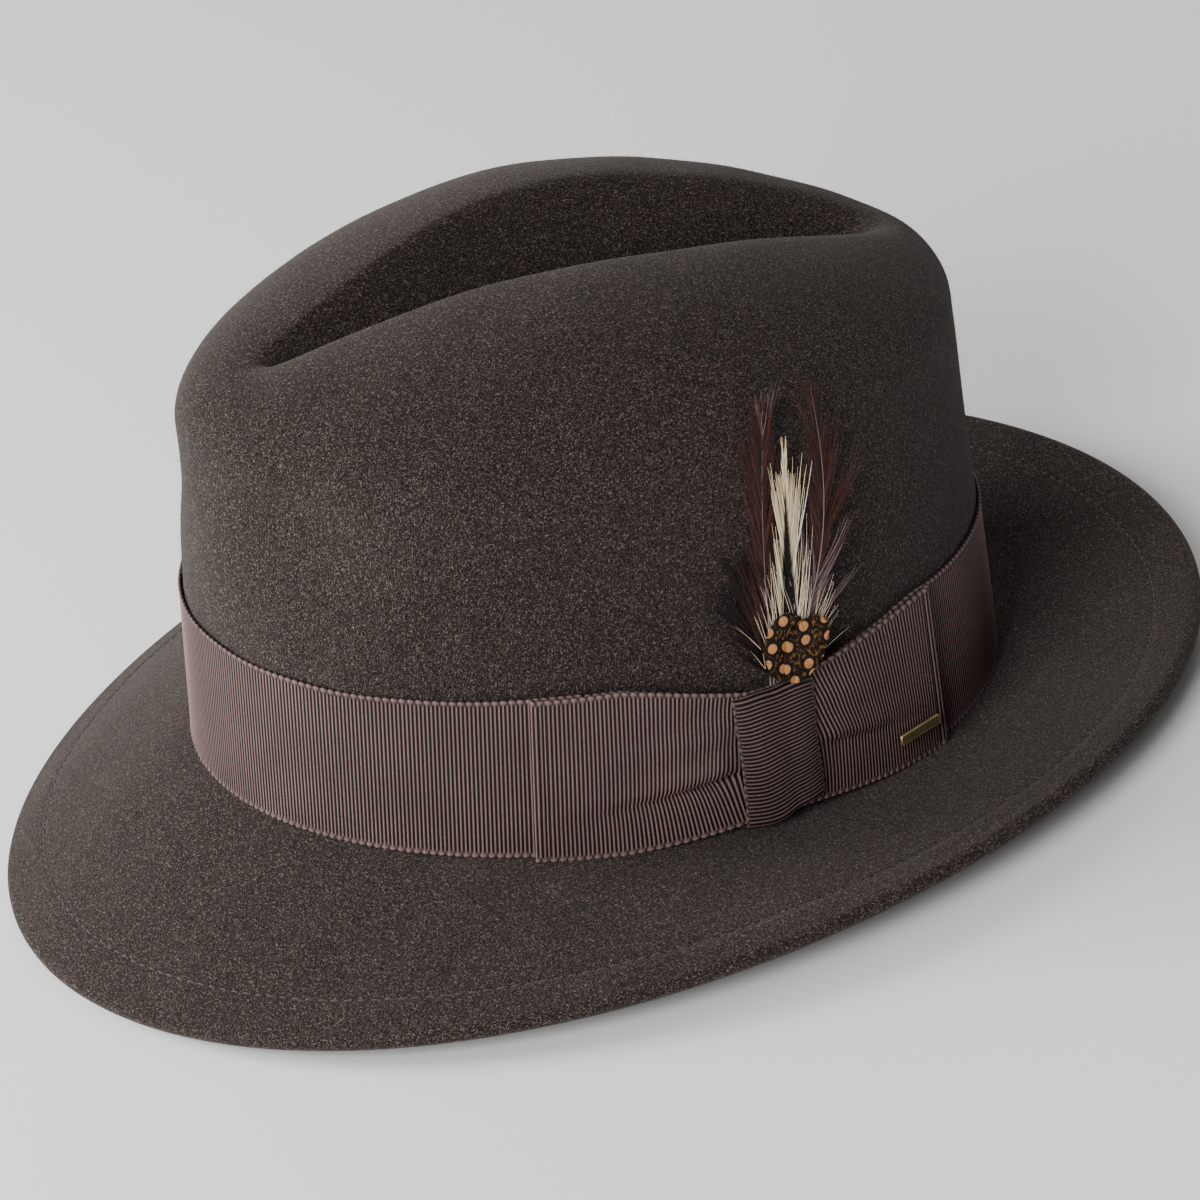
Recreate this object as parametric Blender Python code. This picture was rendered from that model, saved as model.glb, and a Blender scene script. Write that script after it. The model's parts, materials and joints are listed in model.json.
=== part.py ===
"""A felt fedora: centre-dent crown, snap brim, grosgrain band with a flat bow, bar pin and feather spray.

The hat is drawn in millimetres in its own frame: front towards -Y, the wearer's left towards +X, and z = 0
where the brim meets the crown. An angle goes round the crown from the front (0) past the wearer's left
(90 degrees) to the back (180). The finished hat is tipped back so that its brim lies on z = 0.
"""

from math import cos, pi, radians, sin

import bmesh
import bpy
import numpy as np
from mathutils import Euler, Matrix, Vector

MM = 0.001
GAP = 0.35

# Crown: size 58 head opening, measured on the outside of the felt.
HALF_LENGTH = 105.2
HALF_WIDTH = 86.4
EGG = 0.02
FELT = 2.2

# Crown profile at the front, front quarter, side, back quarter and back.
CREST_HEIGHT = (106.0, 116.0, 124.5, 114.0, 105.5)
CREST_HALF_WIDTH = (16.0, 17.0, 26.5, 26.5, 30.5)
CREST_HALF_LENGTH = (86.0, 83.0, 82.0, 83.5, 82.5)
WALL_TAPER = (0.0, 3.0, 12.0, 11.5, 11.7)
SHOULDER_RISE = (16.0, 37.0, 38.0, 23.0, 8.0)

# Centre dent along the top, and one finger pinch on each side of the front.
DENT_FRONT = -70.0
DENT_BACK = 55.0
DENT_FLOOR = 95.0
DENT_SAG = 7.0
DENT_FALL = 3.0
PINCH_DEPTH = 5.5
PINCH_ANGLE = 27.0
PINCH_HEIGHT = 80.0
PINCH_SPREAD = 15.0
PINCH_RISE = 16.0

# Brim: turned-under edge, snapped down in front and up behind.
BRIM_WIDTH = 54.2
WELT_WIDTH = 11.0
WELT = 4.2
WELT_START = 1 - WELT_WIDTH / BRIM_WIDTH
BRIM_STEPS = (1.0, 0.9, WELT_START, WELT_START - 0.015, 0.6, 0.4, 0.2, 0.06, 0.006)
SNAP_LINE = -109.0
SNAP_HEIGHT = 1.0
SNAP_GAP = 0.6
STITCH_INSET = 11.5
STITCH_RADIUS = 0.3

# Ribbon band and flat bow. The bow is gripped flat and narrow at the knot and opens into a loop each side.
BAND_LOW = 0.3
BAND_HEIGHT = 41.0
BAND = 0.7
BOW_ANGLES = (60.0, 65.0, 72.0, 80.0, 86.0, 89.0, 97.5, 101.0, 107.0, 115.0, 121.0, 125.0)
GRIP_HALF_ANGLE = 4.5
SPREAD_ANGLE = 16.0
GRIP_LOW = 6.5
GRIP_HIGH = 31.5
GRIP_BACK = 3.55
GRIP_FRONT = 4.9
LOOP_LOW = 0.5
LOOP_HIGH = 40.8
LOOP_BACK = 1.45
LOOP_FRONT = 3.9
FOLD_TAPER = 0.9
KNOT_ANGLE = 93.0
KNOT_HALF_WIDTH = 10.3
KNOT_LOW = 1.9
KNOT_HIGH = 34.8
KNOT_BACK = 2.6
KNOT_FRONT = 5.9
KNOT_BEND = 1.3
KNOT_CLOTH = 0.6
PIN_START = 112.0
PIN_END = 120.0
PIN_HEIGHT = 9.2
PIN_HALF_HEIGHT = 1.2
PIN_OFFSET = 4.4
PIN_PLATE = 0.7

# Feather spray: a plane leaning with the crown wall, starting behind the knot's upper edge.
SPRAY_Y = 7.0
SPRAY_LOW = 34.0
SPRAY_OFFSET = 1.8
SPRAY_LEAN = 8.0
VANE = 0.5
VANE_PITCH = 0.85
QUILL_LENGTH = 26.0
QUILL_TOP = 2.2
QUILL_HALF_THICKNESS = 0.3
QUILL_HALF_WIDTH_LOW = 1.6
QUILL_HALF_WIDTH_HIGH = 2.6

# Inside: leather sweatband, reed, satin lining and clear tip protector.
LINING = 0.4
LINING_GAP = 0.8
LINING_LOW = 6.0
LINING_HIGH = 77.0
LINING_OUTER = -(FELT + LINING_GAP)
LINING_INNER = LINING_OUTER - LINING
PROTECTOR_HALF_WIDTH = 46.0
PROTECTOR_HALF_LENGTH = 62.0
SWEATBAND = 1.2
SWEATBAND_LOW = -1.8
SWEATBAND_HIGH = 38.0
SWEATBAND_SEAM = 1.5
SWEATBAND_OUTER = LINING_INNER - 1.5 * GAP
SWEATBAND_INNER = SWEATBAND_OUTER - SWEATBAND
TRIM_FACE = SWEATBAND_INNER - GAP
REED_RADIUS = 0.5
SMALL_BOW_HALF_ANGLE = 6.5
SMALL_BOW_HEIGHT = 8.0
LABEL_ANGLE = 235.0
LABEL_HALF_ANGLE = 6.0
LABEL_LOW = 12.0
LABEL_HIGH = 30.0
LABEL = 0.4

# How the hat lies: tipped back about X, rolled about Y.
TIP_BACK = -7.5
ROLL = 2.5

ROUND = 56

MATERIALS = {
    "felt": ((0.054, 0.042, 0.036), 0.95, 0.0),
    "ribbon": ((0.085, 0.050, 0.047), 0.60, 0.0),
    "thread": ((0.150, 0.110, 0.095), 0.80, 0.0),
    "brass": ((0.620, 0.440, 0.200), 0.28, 1.0),
    "brown_feather": ((0.060, 0.022, 0.016), 0.55, 0.0),
    "cream_feather": ((0.780, 0.690, 0.520), 0.60, 0.0),
    "spotted_feather": ((0.200, 0.100, 0.045), 0.55, 0.0),
    "quill": ((0.420, 0.330, 0.230), 0.45, 0.0),
    "leather": ((0.095, 0.055, 0.032), 0.42, 0.0),
    "plastic": ((0.030, 0.028, 0.027), 0.35, 0.0),
    "satin": ((0.070, 0.052, 0.045), 0.30, 0.0),
    "clear": ((0.850, 0.850, 0.830), 0.08, 0.0),
}

SERIES = np.linalg.inv([[cos(k * radians(a)) for k in range(5)] for a in (0, 45, 90, 135, 180)])


def around(values, phi):
    """Value at angle phi of a smooth symmetric curve through five values, front to back."""
    weights = SERIES @ np.array(values)
    return sum(weights[k] * cos(k * phi) for k in range(5))


def oval(phi, inset=0.0):
    """Point on the head oval, slightly narrower at the front, moved inwards by inset."""
    x = (HALF_WIDTH - inset) * sin(phi) * (1 - EGG * cos(phi))
    return x, -(HALF_LENGTH - inset) * cos(phi)


def outward(phi):
    """Unit normal of the head oval in plan."""
    step = 0.001
    x0, y0 = oval(phi - step)
    x1, y1 = oval(phi + step)
    normal = Vector((y1 - y0, x0 - x1))
    return normal.normalized()


def pinch(phi, z):
    """How far the front pinches push the crown in."""
    angle = abs((np.degrees(phi) + 180) % 360 - 180)
    across = ((angle - PINCH_ANGLE) / PINCH_SPREAD) ** 2
    return PINCH_DEPTH * np.exp(-across - ((z - PINCH_HEIGHT) / PINCH_RISE) ** 2)


def shoulder_start(phi):
    return around(CREST_HEIGHT, phi) - around(SHOULDER_RISE, phi)


def wall(phi, z, offset=0.0):
    """Point on the crown's upright wall at height z, offset outwards."""
    x, y = oval(phi, around(WALL_TAPER, phi) * z / shoulder_start(phi))
    normal = outward(phi) * (offset - pinch(phi, z))
    return Vector((x + normal.x, y + normal.y, z))


def shoulder(phi, turn):
    """Point on the rounded shoulder: turn 0 at the top of the wall, 1 at the crest of the dent."""
    angle = turn * pi / 2
    z = shoulder_start(phi) + around(SHOULDER_RISE, phi) * sin(angle)
    x, y = oval(phi, around(WALL_TAPER, phi))
    inwards = 1 - cos(angle)
    x += (around(CREST_HALF_WIDTH, phi) * sin(phi) - x) * inwards
    y += (-around(CREST_HALF_LENGTH, phi) * cos(phi) - y) * inwards
    push = outward(phi) * pinch(phi, z)
    return Vector((x - push.x, y - push.y, z))


def dent(phi, depth):
    """Point inside the centre dent: depth 0 at the crest, 1 on the dent's floor line."""
    crest = shoulder(phi, 1)
    floor_y = (DENT_FRONT + DENT_BACK - (DENT_BACK - DENT_FRONT) * cos(phi)) / 2
    along = (floor_y - DENT_FRONT) / (DENT_BACK - DENT_FRONT)
    floor = Vector((0, floor_y, DENT_FLOOR - DENT_SAG * sin(pi * along) - DENT_FALL * along))
    fall = depth * depth * (3 - 2 * depth)
    point = crest.lerp(floor, depth)
    point.z = crest.z + (floor.z - crest.z) * fall
    return point


def brim_drop(phi):
    """Height of the brim's edge: down in front, up behind, a little higher on the wearer's left."""
    even = -7.0 - 24.7 * cos(phi) - 2.3 * cos(2 * phi)
    return even + 6.6 * sin(phi) + 1.0 * sin(2 * phi)


def brim_reach(phi):
    """Plan distance from the crown to the brim's edge, from the felt's width along its slope."""
    width = BRIM_WIDTH + 3.7 * cos(phi) + 5.0 * cos(2 * phi)
    return (width**2 - brim_drop(phi) ** 2) ** 0.5


def brim(phi, out):
    """Point on top of the brim: out 0 at the crown, 1 at the edge."""
    x, y = oval(phi)
    reach = outward(phi) * brim_reach(phi) * out
    curl = 1.45 - 0.3 * cos(phi)
    return Vector((x + reach.x, y + reach.y, brim_drop(phi) * out**curl))


def angles(count=ROUND):
    return [2 * pi * i / count for i in range(count)]


def material(name):
    found = bpy.data.materials.get(name)
    if found:
        return found
    colour, roughness, metallic = MATERIALS[name]
    made = bpy.data.materials.new(name)
    made.use_nodes = True
    shader = made.node_tree.nodes["Principled BSDF"]
    shader.inputs["Base Color"].default_value = (*colour, 1)
    shader.inputs["Roughness"].default_value = roughness
    shader.inputs["Metallic"].default_value = metallic
    return made


def solid(name, points, faces, slot, parent):
    """A closed object from points in millimetres of the hat frame."""
    origin = parent.get("origin_mm", (0, 0, 0))
    mesh = bpy.data.meshes.new(name)
    mesh.from_pydata([(Vector(p) - Vector(origin)) * MM for p in points], [], faces)
    shape = bmesh.new()
    shape.from_mesh(mesh)
    bmesh.ops.recalc_face_normals(shape, faces=shape.faces)
    shape.to_mesh(mesh)
    shape.free()
    mesh.shade_smooth()
    mesh.set_sharp_from_angle(angle=radians(35))
    mesh.materials.append(material(slot))
    made = bpy.data.objects.new(name, mesh)
    bpy.context.scene.collection.objects.link(made)
    made.parent = parent
    return made


def bands_between(rings, close):
    """Quads between successive rings of equal length."""
    count = len(rings[0])
    pairs = list(zip(rings, rings[1:] + rings[:1])) if close else list(zip(rings, rings[1:]))
    quads = []
    for low, high in pairs:
        for i in range(count):
            j = (i + 1) % count
            quads.append((low[i], low[j], high[j], high[i]))
    return quads


def numbered(sections):
    count = len(sections[0])
    return [[k * count + i for i in range(count)] for k in range(len(sections))]


def loop_solid(name, sections, slot, parent):
    """A ring-shaped solid from cross-sections that follow one another round a closed path."""
    points = [p for section in sections for p in section]
    return solid(name, points, bands_between(numbered(sections), True), slot, parent)


def loft_solid(name, sections, slot, parent):
    """A solid lofted through cross-sections, with flat ends."""
    points = [p for section in sections for p in section]
    rings = numbered(sections)
    faces = bands_between(rings, False) + [tuple(reversed(rings[0])), tuple(rings[-1])]
    return solid(name, points, faces, slot, parent)


def wall_ring(name, low, high, inner, outer, slot, parent, steps=1):
    """A strip that lines the crown wall, between two heights and two offsets."""
    sections = []
    for phi in angles():
        heights = [low + (high - low) * i / steps for i in range(steps + 1)]
        outside = [wall(phi, z, outer) for z in heights]
        inside = [wall(phi, z, inner) for z in reversed(heights)]
        sections.append(outside + inside)
    return loop_solid(name, sections, slot, parent)


def cord_ring(name, centres, radius, sides, slot, parent):
    """A thin round ring through centres, each with its own outward direction."""
    sections = []
    for centre, out in centres:
        section = []
        for k in range(sides):
            turn = 2 * pi * (k + 0.5) / sides
            section.append(centre + out * radius * cos(turn) + Vector((0, 0, radius * sin(turn))))
        sections.append(section)
    return loop_solid(name, sections, slot, parent)


def felt_surface():
    """Rings of the felt's outer face from the brim's edge to the dent, and the floor line."""
    rings = []
    for out in BRIM_STEPS:
        rings.append([brim(phi, out) for phi in angles()])
    for rise in (0.004, 0.3, 0.55, 0.75, 0.88, 1.0):
        rings.append([wall(phi, shoulder_start(phi) * rise) for phi in angles()])
    for turn in (0.25, 0.5, 0.75, 1.0):
        rings.append([shoulder(phi, turn) for phi in angles()])
    for depth in (0.2, 0.4, 0.6, 0.8):
        rings.append([dent(phi, depth) for phi in angles()])
    floor = [dent(phi, 1) for phi in angles()[: ROUND // 2 + 1]]
    return rings, floor


def felt_solid(name, parent):
    """The whole felt: the outer face, and an inner face a felt's thickness under it."""
    rings, floor = felt_surface()
    points = [p for ring in rings for p in ring] + floor
    index = numbered(rings)
    start = len(rings) * ROUND
    index.append([start + min(i, ROUND - i) for i in range(ROUND)])
    outer_faces = bands_between(index, False)
    normals = [Vector() for _ in points]
    for face in outer_faces:
        a, b, c, d = (points[i] for i in face)
        normal = (c - a).cross(d - b)
        if normal.length > 0:
            normal.normalize()
        for i in set(face):
            normals[i] += normal
    in_welt = (BRIM_STEPS.index(WELT_START) + 1) * ROUND
    depths = [WELT] * in_welt + [FELT] * (len(points) - in_welt)
    inner = [p - n.normalized() * depth for p, n, depth in zip(points, normals, depths)]
    count = len(points)
    inner_faces = [tuple(i + count for i in reversed(face)) for face in outer_faces]
    edge = []
    for i in range(ROUND):
        j = (i + 1) % ROUND
        edge.append((j, i, i + count, j + count))
    return solid(name, points + inner, outer_faces + inner_faces + edge, "felt", parent)


def box(name, low, high, parent):
    corners = [(x, y, z) for x in (low[0], high[0]) for y in (low[1], high[1]) for z in (low[2], high[2])]
    faces = [(0, 1, 3, 2), (4, 6, 7, 5), (0, 4, 5, 1), (2, 3, 7, 6), (0, 2, 6, 4), (1, 5, 7, 3)]
    made = solid(name, corners, faces, "plastic", parent)
    made.hide_render = True
    made.display_type = "WIRE"
    return made


def cut(target, cutter, operation):
    modifier = target.modifiers.new("snap_line", "BOOLEAN")
    modifier.operation = operation
    modifier.solver = "EXACT"
    modifier.object = cutter


def anchor(name, origin, parent):
    """An empty at a point of the hat frame, in millimetres."""
    made = bpy.data.objects.new(name, None)
    made["origin_mm"] = origin
    bpy.context.scene.collection.objects.link(made)
    made.parent = parent
    made.location = Vector(origin) * MM
    return made


def stitch_centres():
    """The line of stitching that holds the turned-under edge, just above the brim."""
    out = 1 - STITCH_INSET / BRIM_WIDTH
    lift = Vector((0, 0, STITCH_RADIUS + GAP))
    return [(brim(phi, out) + lift, outward(phi).to_3d()) for phi in angles()]


def build_felt(hat, hinge):
    far = 400.0
    in_front = box("snap_cutter", (-far, -far, -far), (far, SNAP_LINE + SNAP_GAP / 2, far), hat)
    behind = box("snap_keeper", (-far, -far, -far), (far, SNAP_LINE - SNAP_GAP / 2, far), hinge)
    body = felt_solid("felt_body", hat)
    cut(body, in_front, "DIFFERENCE")
    flap = felt_solid("front_brim", hinge)
    cut(flap, behind, "INTERSECT")
    centres = stitch_centres()
    rear = cord_ring("welt_stitching_rear", centres, STITCH_RADIUS, 4, "thread", hat)
    cut(rear, in_front, "DIFFERENCE")
    front = cord_ring("welt_stitching_front", centres, STITCH_RADIUS, 4, "thread", hinge)
    cut(front, behind, "INTERSECT")
    return body, flap


def build_lining(hat):
    """Satin wall and tip, the piping where they meet, and the clear film under the tip."""
    wall_ring("lining_wall", LINING_LOW, LINING_HIGH, LINING_INNER, LINING_OUTER, "satin", hat, 6)
    piping_centres = wall_line(LINING_HIGH - 1.0, LINING_INNER - GAP - REED_RADIUS)
    cord_ring("lining_piping", piping_centres, REED_RADIUS, 4, "satin", hat)
    tip_outline = [wall(phi, LINING_HIGH, LINING_INNER) for phi in angles()]
    loft_solid("lining_tip", plate_sections(tip_outline, LINING_HIGH + GAP, LINING), "satin", hat)
    film = [(PROTECTOR_HALF_WIDTH * cos(turn), PROTECTOR_HALF_LENGTH * sin(turn)) for turn in angles(24)]
    loft_solid("tip_protector", plate_sections(film, LINING_HIGH - 2 * GAP, GAP), "clear", hat)


def build_sweatband(hat):
    """Leather sweatband, the reed along its lower edge, its stitching, small bow and blank size label."""
    wall_ring("sweatband", SWEATBAND_LOW, SWEATBAND_HIGH, SWEATBAND_INNER, SWEATBAND_OUTER, "leather", hat)
    reed_centres = wall_line(SWEATBAND_LOW + REED_RADIUS, -(FELT + GAP + REED_RADIUS))
    cord_ring("sweatband_reed", reed_centres, REED_RADIUS, 6, "plastic", hat)
    seam_centres = wall_line(SWEATBAND_SEAM, TRIM_FACE - STITCH_RADIUS)
    cord_ring("sweatband_stitching", seam_centres, STITCH_RADIUS, 4, "thread", hat)
    build_small_bow(hat)
    label_ends = (LABEL_ANGLE - LABEL_HALF_ANGLE, LABEL_ANGLE + LABEL_HALF_ANGLE)
    label_heights = (LABEL_LOW, LABEL_HIGH)
    wall_patch("size_label", label_ends, label_heights, TRIM_FACE - LABEL, TRIM_FACE, "leather", hat)


def plate_sections(outline, low, thickness):
    """Two copies of a plan outline, for a flat plate."""
    return [[Vector((p[0], p[1], z)) for p in outline] for z in (low, low + thickness)]


def wall_line(height, offset):
    """Centres of a cord that follows the wall, each with its outward direction."""
    return [(wall(phi, height, offset), outward(phi).to_3d()) for phi in angles()]


def wall_patch(name, ends, heights, inner, outer, slot, parent, steps=4):
    """A patch of cloth, leather or metal that follows the wall between two angles in degrees."""
    low, high = heights
    sections = []
    for i in range(steps + 1):
        phi = radians(ends[0] + (ends[1] - ends[0]) * i / steps)
        near = [wall(phi, low, inner), wall(phi, high, inner)]
        sections.append(near + [wall(phi, high, outer), wall(phi, low, outer)])
    return loft_solid(name, sections, slot, parent)


def build_small_bow(hat):
    """The small bow where the sweatband's ends meet: two tall loops and a narrow middle."""
    sections = []
    for step in (-1.0, -0.72, -0.25, -0.1, 0.1, 0.25, 0.72, 1.0):
        phi = radians(180 + SMALL_BOW_HALF_ANGLE * step)
        tall = 4.6 if abs(step) > 0.5 else 2.0
        thick = 1.4 if abs(step) < 0.9 else 0.9
        low = SMALL_BOW_HEIGHT - tall
        high = SMALL_BOW_HEIGHT + tall
        section = [wall(phi, low, TRIM_FACE - thick), wall(phi, high, TRIM_FACE - thick)]
        section += [wall(phi, high, TRIM_FACE), wall(phi, low, TRIM_FACE)]
        sections.append(section)
    loft_solid("sweatband_bow", sections, "ribbon", hat)


def bow_section(degrees):
    """One cross-section of the bow ribbon: wide and flat at its folded ends, gripped at the knot."""
    from_knot = abs(degrees - KNOT_ANGLE)
    spread = min(1.0, max(0.0, (from_knot - GRIP_HALF_ANGLE) / SPREAD_ANGLE))
    swell = spread * spread * (3 - 2 * spread)
    low = GRIP_LOW + (LOOP_LOW - GRIP_LOW) * swell
    high = GRIP_HIGH + (LOOP_HIGH - GRIP_HIGH) * swell
    back = GRIP_BACK + (LOOP_BACK - GRIP_BACK) * swell
    front = GRIP_FRONT + (LOOP_FRONT - GRIP_FRONT) * swell
    if degrees in (BOW_ANGLES[0], BOW_ANGLES[-1]):
        front -= FOLD_TAPER
    phi = radians(degrees)
    return [wall(phi, low, back), wall(phi, high, back), wall(phi, high, front), wall(phi, low, front)]


def build_ribbons(hat):
    """The band round the crown, the flat bow, the knot round its middle and the pin on its rear loop."""
    wall_ring("hat_band", BAND_LOW, BAND_HEIGHT, GAP, GAP + BAND, "ribbon", hat, 2)
    loft_solid("bow_ribbon", [bow_section(degrees) for degrees in BOW_ANGLES], "ribbon", hat)
    sections = []
    for outer, inner in zip(knot_path(0.0), knot_path(KNOT_CLOTH)):
        section = []
        for (offset, z), side in ((outer, -1), (outer, 1), (inner, 1), (inner, -1)):
            phi = radians(KNOT_ANGLE) + side * KNOT_HALF_WIDTH / HALF_LENGTH
            section.append(wall(phi, z, offset))
        sections.append(section)
    loop_solid("bow_knot", sections, "ribbon", hat)
    pin_heights = (PIN_HEIGHT - PIN_HALF_HEIGHT, PIN_HEIGHT + PIN_HALF_HEIGHT)
    pin_front = PIN_OFFSET + PIN_PLATE
    wall_patch("bar_pin", (PIN_START, PIN_END), pin_heights, PIN_OFFSET, pin_front, "brass", hat)


def knot_path(inset):
    """Rounded loop round the pinched ribbon, as (offset, height) pairs, front face first."""
    back = KNOT_BACK + inset
    front = KNOT_FRONT - inset
    low = KNOT_LOW + inset
    high = KNOT_HIGH - inset
    bend = KNOT_BEND - inset / 2
    return [
        (front, low + bend),
        (front, high - bend),
        (front - bend * 0.3, high - bend * 0.3),
        (front - bend, high),
        (back + bend * 0.5, high),
        (back, high - bend),
        (back, low + bend),
        (back + bend * 0.5, low),
        (front - bend, low),
        (front - bend * 0.3, low + bend * 0.3),
    ]


def spray_frame():
    """Origin, sideways, upwards and outwards directions of the feather plane."""
    phi = radians(90) + SPRAY_Y / HALF_LENGTH
    origin = wall(phi, SPRAY_LOW, SPRAY_OFFSET)
    lean = radians(SPRAY_LEAN)
    normal = outward(phi)
    up = Vector((-normal.x * sin(lean), -normal.y * sin(lean), cos(lean)))
    side = Vector((-normal.y, normal.x, 0))
    return origin, side, up, side.cross(up)


def spray_point(frame, across, along, layer):
    origin, side, up, out = frame
    return origin + side * across + up * along + out * layer


def vane_outline(root, tip, bow, width, steps=7):
    """A leaf outline from root to tip, bowed sideways, as (across, along) pairs."""
    root = Vector(root)
    tip = Vector(tip)
    axis = (tip - root).normalized()
    normal = Vector((axis.y, -axis.x))
    left = []
    right = []
    for i in range(steps + 1):
        t = i / steps
        half = width / 2 * (0.12 + 0.88 * sin(pi * min(t * 0.92 + 0.08, 1.0)) ** 0.75)
        middle = root.lerp(tip, t) + normal * bow * sin(pi * t)
        left.append(middle - normal * half)
        right.append(middle + normal * half)
    return left + right[::-1]


def build_spray(slide):
    frame = spray_frame()
    feathers = (
        ("dark_feather", (-1.5, 3.0), (-9.0, 42.0), 0.0, 12.0, "brown_feather"),
        ("brown_feather_front", (-1.0, 3.0), (3.0, 70.5), 0.0, 10.5, "brown_feather"),
        ("brown_feather_rear", (2.5, 3.0), (15.5, 68.5), 4.0, 12.0, "brown_feather"),
        ("cream_feather", (1.0, 3.0), (5.5, 62.5), 0.0, 8.5, "cream_feather"),
        ("spotted_feather_left", (0.0, 2.5), (2.5, 20.5), 0.0, 11.0, "spotted_feather"),
        ("spotted_feather_right", (2.5, 2.5), (10.5, 16.5), 0.0, 11.0, "spotted_feather"),
    )
    for layer, (name, root, tip, bow, width, slot) in enumerate(feathers):
        outline = vane_outline(root, tip, bow, width)
        near = layer * VANE_PITCH
        sections = []
        for depth in (near, near + VANE):
            sections.append([spray_point(frame, p.x, p.y, depth) for p in outline])
        loft_solid(name, sections, slot, slide)
    build_quills(frame, slide)


def build_quills(frame, slide):
    """The bound quills that run down behind the knot."""
    low = (QUILL_HALF_WIDTH_LOW, -QUILL_LENGTH)
    high = (QUILL_HALF_WIDTH_HIGH, QUILL_TOP)
    sections = []
    for depth in (-QUILL_HALF_THICKNESS, QUILL_HALF_THICKNESS):
        corners = ((-low[0], low[1]), low, high, (-high[0], high[1]))
        sections.append([spray_point(frame, across, along, depth) for across, along in corners])
    loft_solid("feather_quills", sections, "quill", slide)


def stand(hat, felt_pieces):
    """Tip the hat and set it down: its box is centred on the origin and stands on z = 0."""
    turn = Euler((radians(TIP_BACK), radians(ROLL), 0)).to_matrix()
    points = []
    for piece in felt_pieces:
        origin = Vector(piece.parent["origin_mm"]) * MM
        points += [turn @ (vertex.co + origin) for vertex in piece.data.vertices]
    low = Vector(min(p[axis] for p in points) for axis in range(3))
    high = Vector(max(p[axis] for p in points) for axis in range(3))
    centre = (low + high) / 2
    hat.matrix_world = Matrix.Translation((-centre.x, -centre.y, -low.z)) @ turn.to_4x4()


def main():
    for old in list(bpy.data.objects):
        bpy.data.objects.remove(old, do_unlink=True)
    hat = anchor("hat_frame", (0, 0, 0), None)
    hinge = anchor("brim_hinge", (0.0, SNAP_LINE, SNAP_HEIGHT), hat)
    slide = anchor("feather_slide", tuple(spray_frame()[0]), hat)
    felt_pieces = build_felt(hat, hinge)
    build_ribbons(hat)
    build_lining(hat)
    build_sweatband(hat)
    build_spray(slide)
    stand(hat, felt_pieces)


main()
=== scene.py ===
"""Looks of the felt fedora, built round its CAD model.

Shapes are worked out in millimetres in the hat's own frame: front towards -Y, the wearer's left towards +X,
and z = 0 where the brim meets the crown. An angle phi goes round the crown from the front (0) past the
wearer's left (90 degrees) to the back (180). to_row turns such points into metres in the row frame.
"""

import json
from math import radians

import bmesh
import bpy
import numpy as np
from mathutils import Euler, Matrix, Vector


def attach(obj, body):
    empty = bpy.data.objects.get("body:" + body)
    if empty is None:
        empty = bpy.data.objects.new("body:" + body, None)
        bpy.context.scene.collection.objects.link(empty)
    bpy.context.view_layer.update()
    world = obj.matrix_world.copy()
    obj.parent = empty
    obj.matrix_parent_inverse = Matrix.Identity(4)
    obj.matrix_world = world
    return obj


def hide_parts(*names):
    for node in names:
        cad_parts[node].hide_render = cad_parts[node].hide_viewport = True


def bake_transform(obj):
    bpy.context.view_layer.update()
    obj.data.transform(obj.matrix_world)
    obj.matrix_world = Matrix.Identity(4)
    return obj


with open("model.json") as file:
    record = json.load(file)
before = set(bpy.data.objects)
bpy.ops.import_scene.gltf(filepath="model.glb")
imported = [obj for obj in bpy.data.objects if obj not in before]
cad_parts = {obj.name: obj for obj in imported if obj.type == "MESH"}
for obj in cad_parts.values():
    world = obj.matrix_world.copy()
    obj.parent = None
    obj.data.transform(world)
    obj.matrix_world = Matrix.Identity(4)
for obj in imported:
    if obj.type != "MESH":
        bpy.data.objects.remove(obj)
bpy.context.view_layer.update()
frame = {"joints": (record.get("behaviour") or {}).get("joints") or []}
rng = np.random.default_rng(58)

MM = 0.001

# The hat's frame in the row frame: tipped back about X, rolled about Y.
TIP_BACK = -7.5
ROLL = 2.5
HINGE_POINT = (0.0, -109.0, 1.0)

# Crown, as in the CAD model.
HALF_LENGTH = 105.2
HALF_WIDTH = 86.4
EGG = 0.02
FELT = 2.2
CREST_HEIGHT = (106.0, 116.0, 124.5, 114.0, 105.5)
CREST_HALF_WIDTH = (16.0, 17.0, 26.5, 26.5, 30.5)
CREST_HALF_LENGTH = (86.0, 83.0, 82.0, 83.5, 82.5)
WALL_TAPER = (0.0, 3.0, 12.0, 11.5, 11.7)
SHOULDER_RISE = (16.0, 37.0, 38.0, 23.0, 8.0)
DENT_FRONT = -70.0
DENT_BACK = 55.0
DENT_FLOOR = 95.0
DENT_SAG = 7.0
DENT_FALL = 3.0
PINCH_DEPTH = 5.5
PINCH_ANGLE = 27.0
PINCH_HEIGHT = 80.0
PINCH_SPREAD = 15.0
PINCH_RISE = 16.0

# Brim.
BRIM_WIDTH = 54.2
WELT_WIDTH = 11.0
WELT = 4.2
STITCH_INSET = 11.5
STITCH_PITCH = 3.4
STITCH_LENGTH = 2.5
# Rings of points on the brim: on the welt, over its step, and from there to the crown.
BRIM_RINGS = (11, 12, 32)
FUZZ_COUNT = 30000
FUZZ_WIDTH = 0.035

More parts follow.
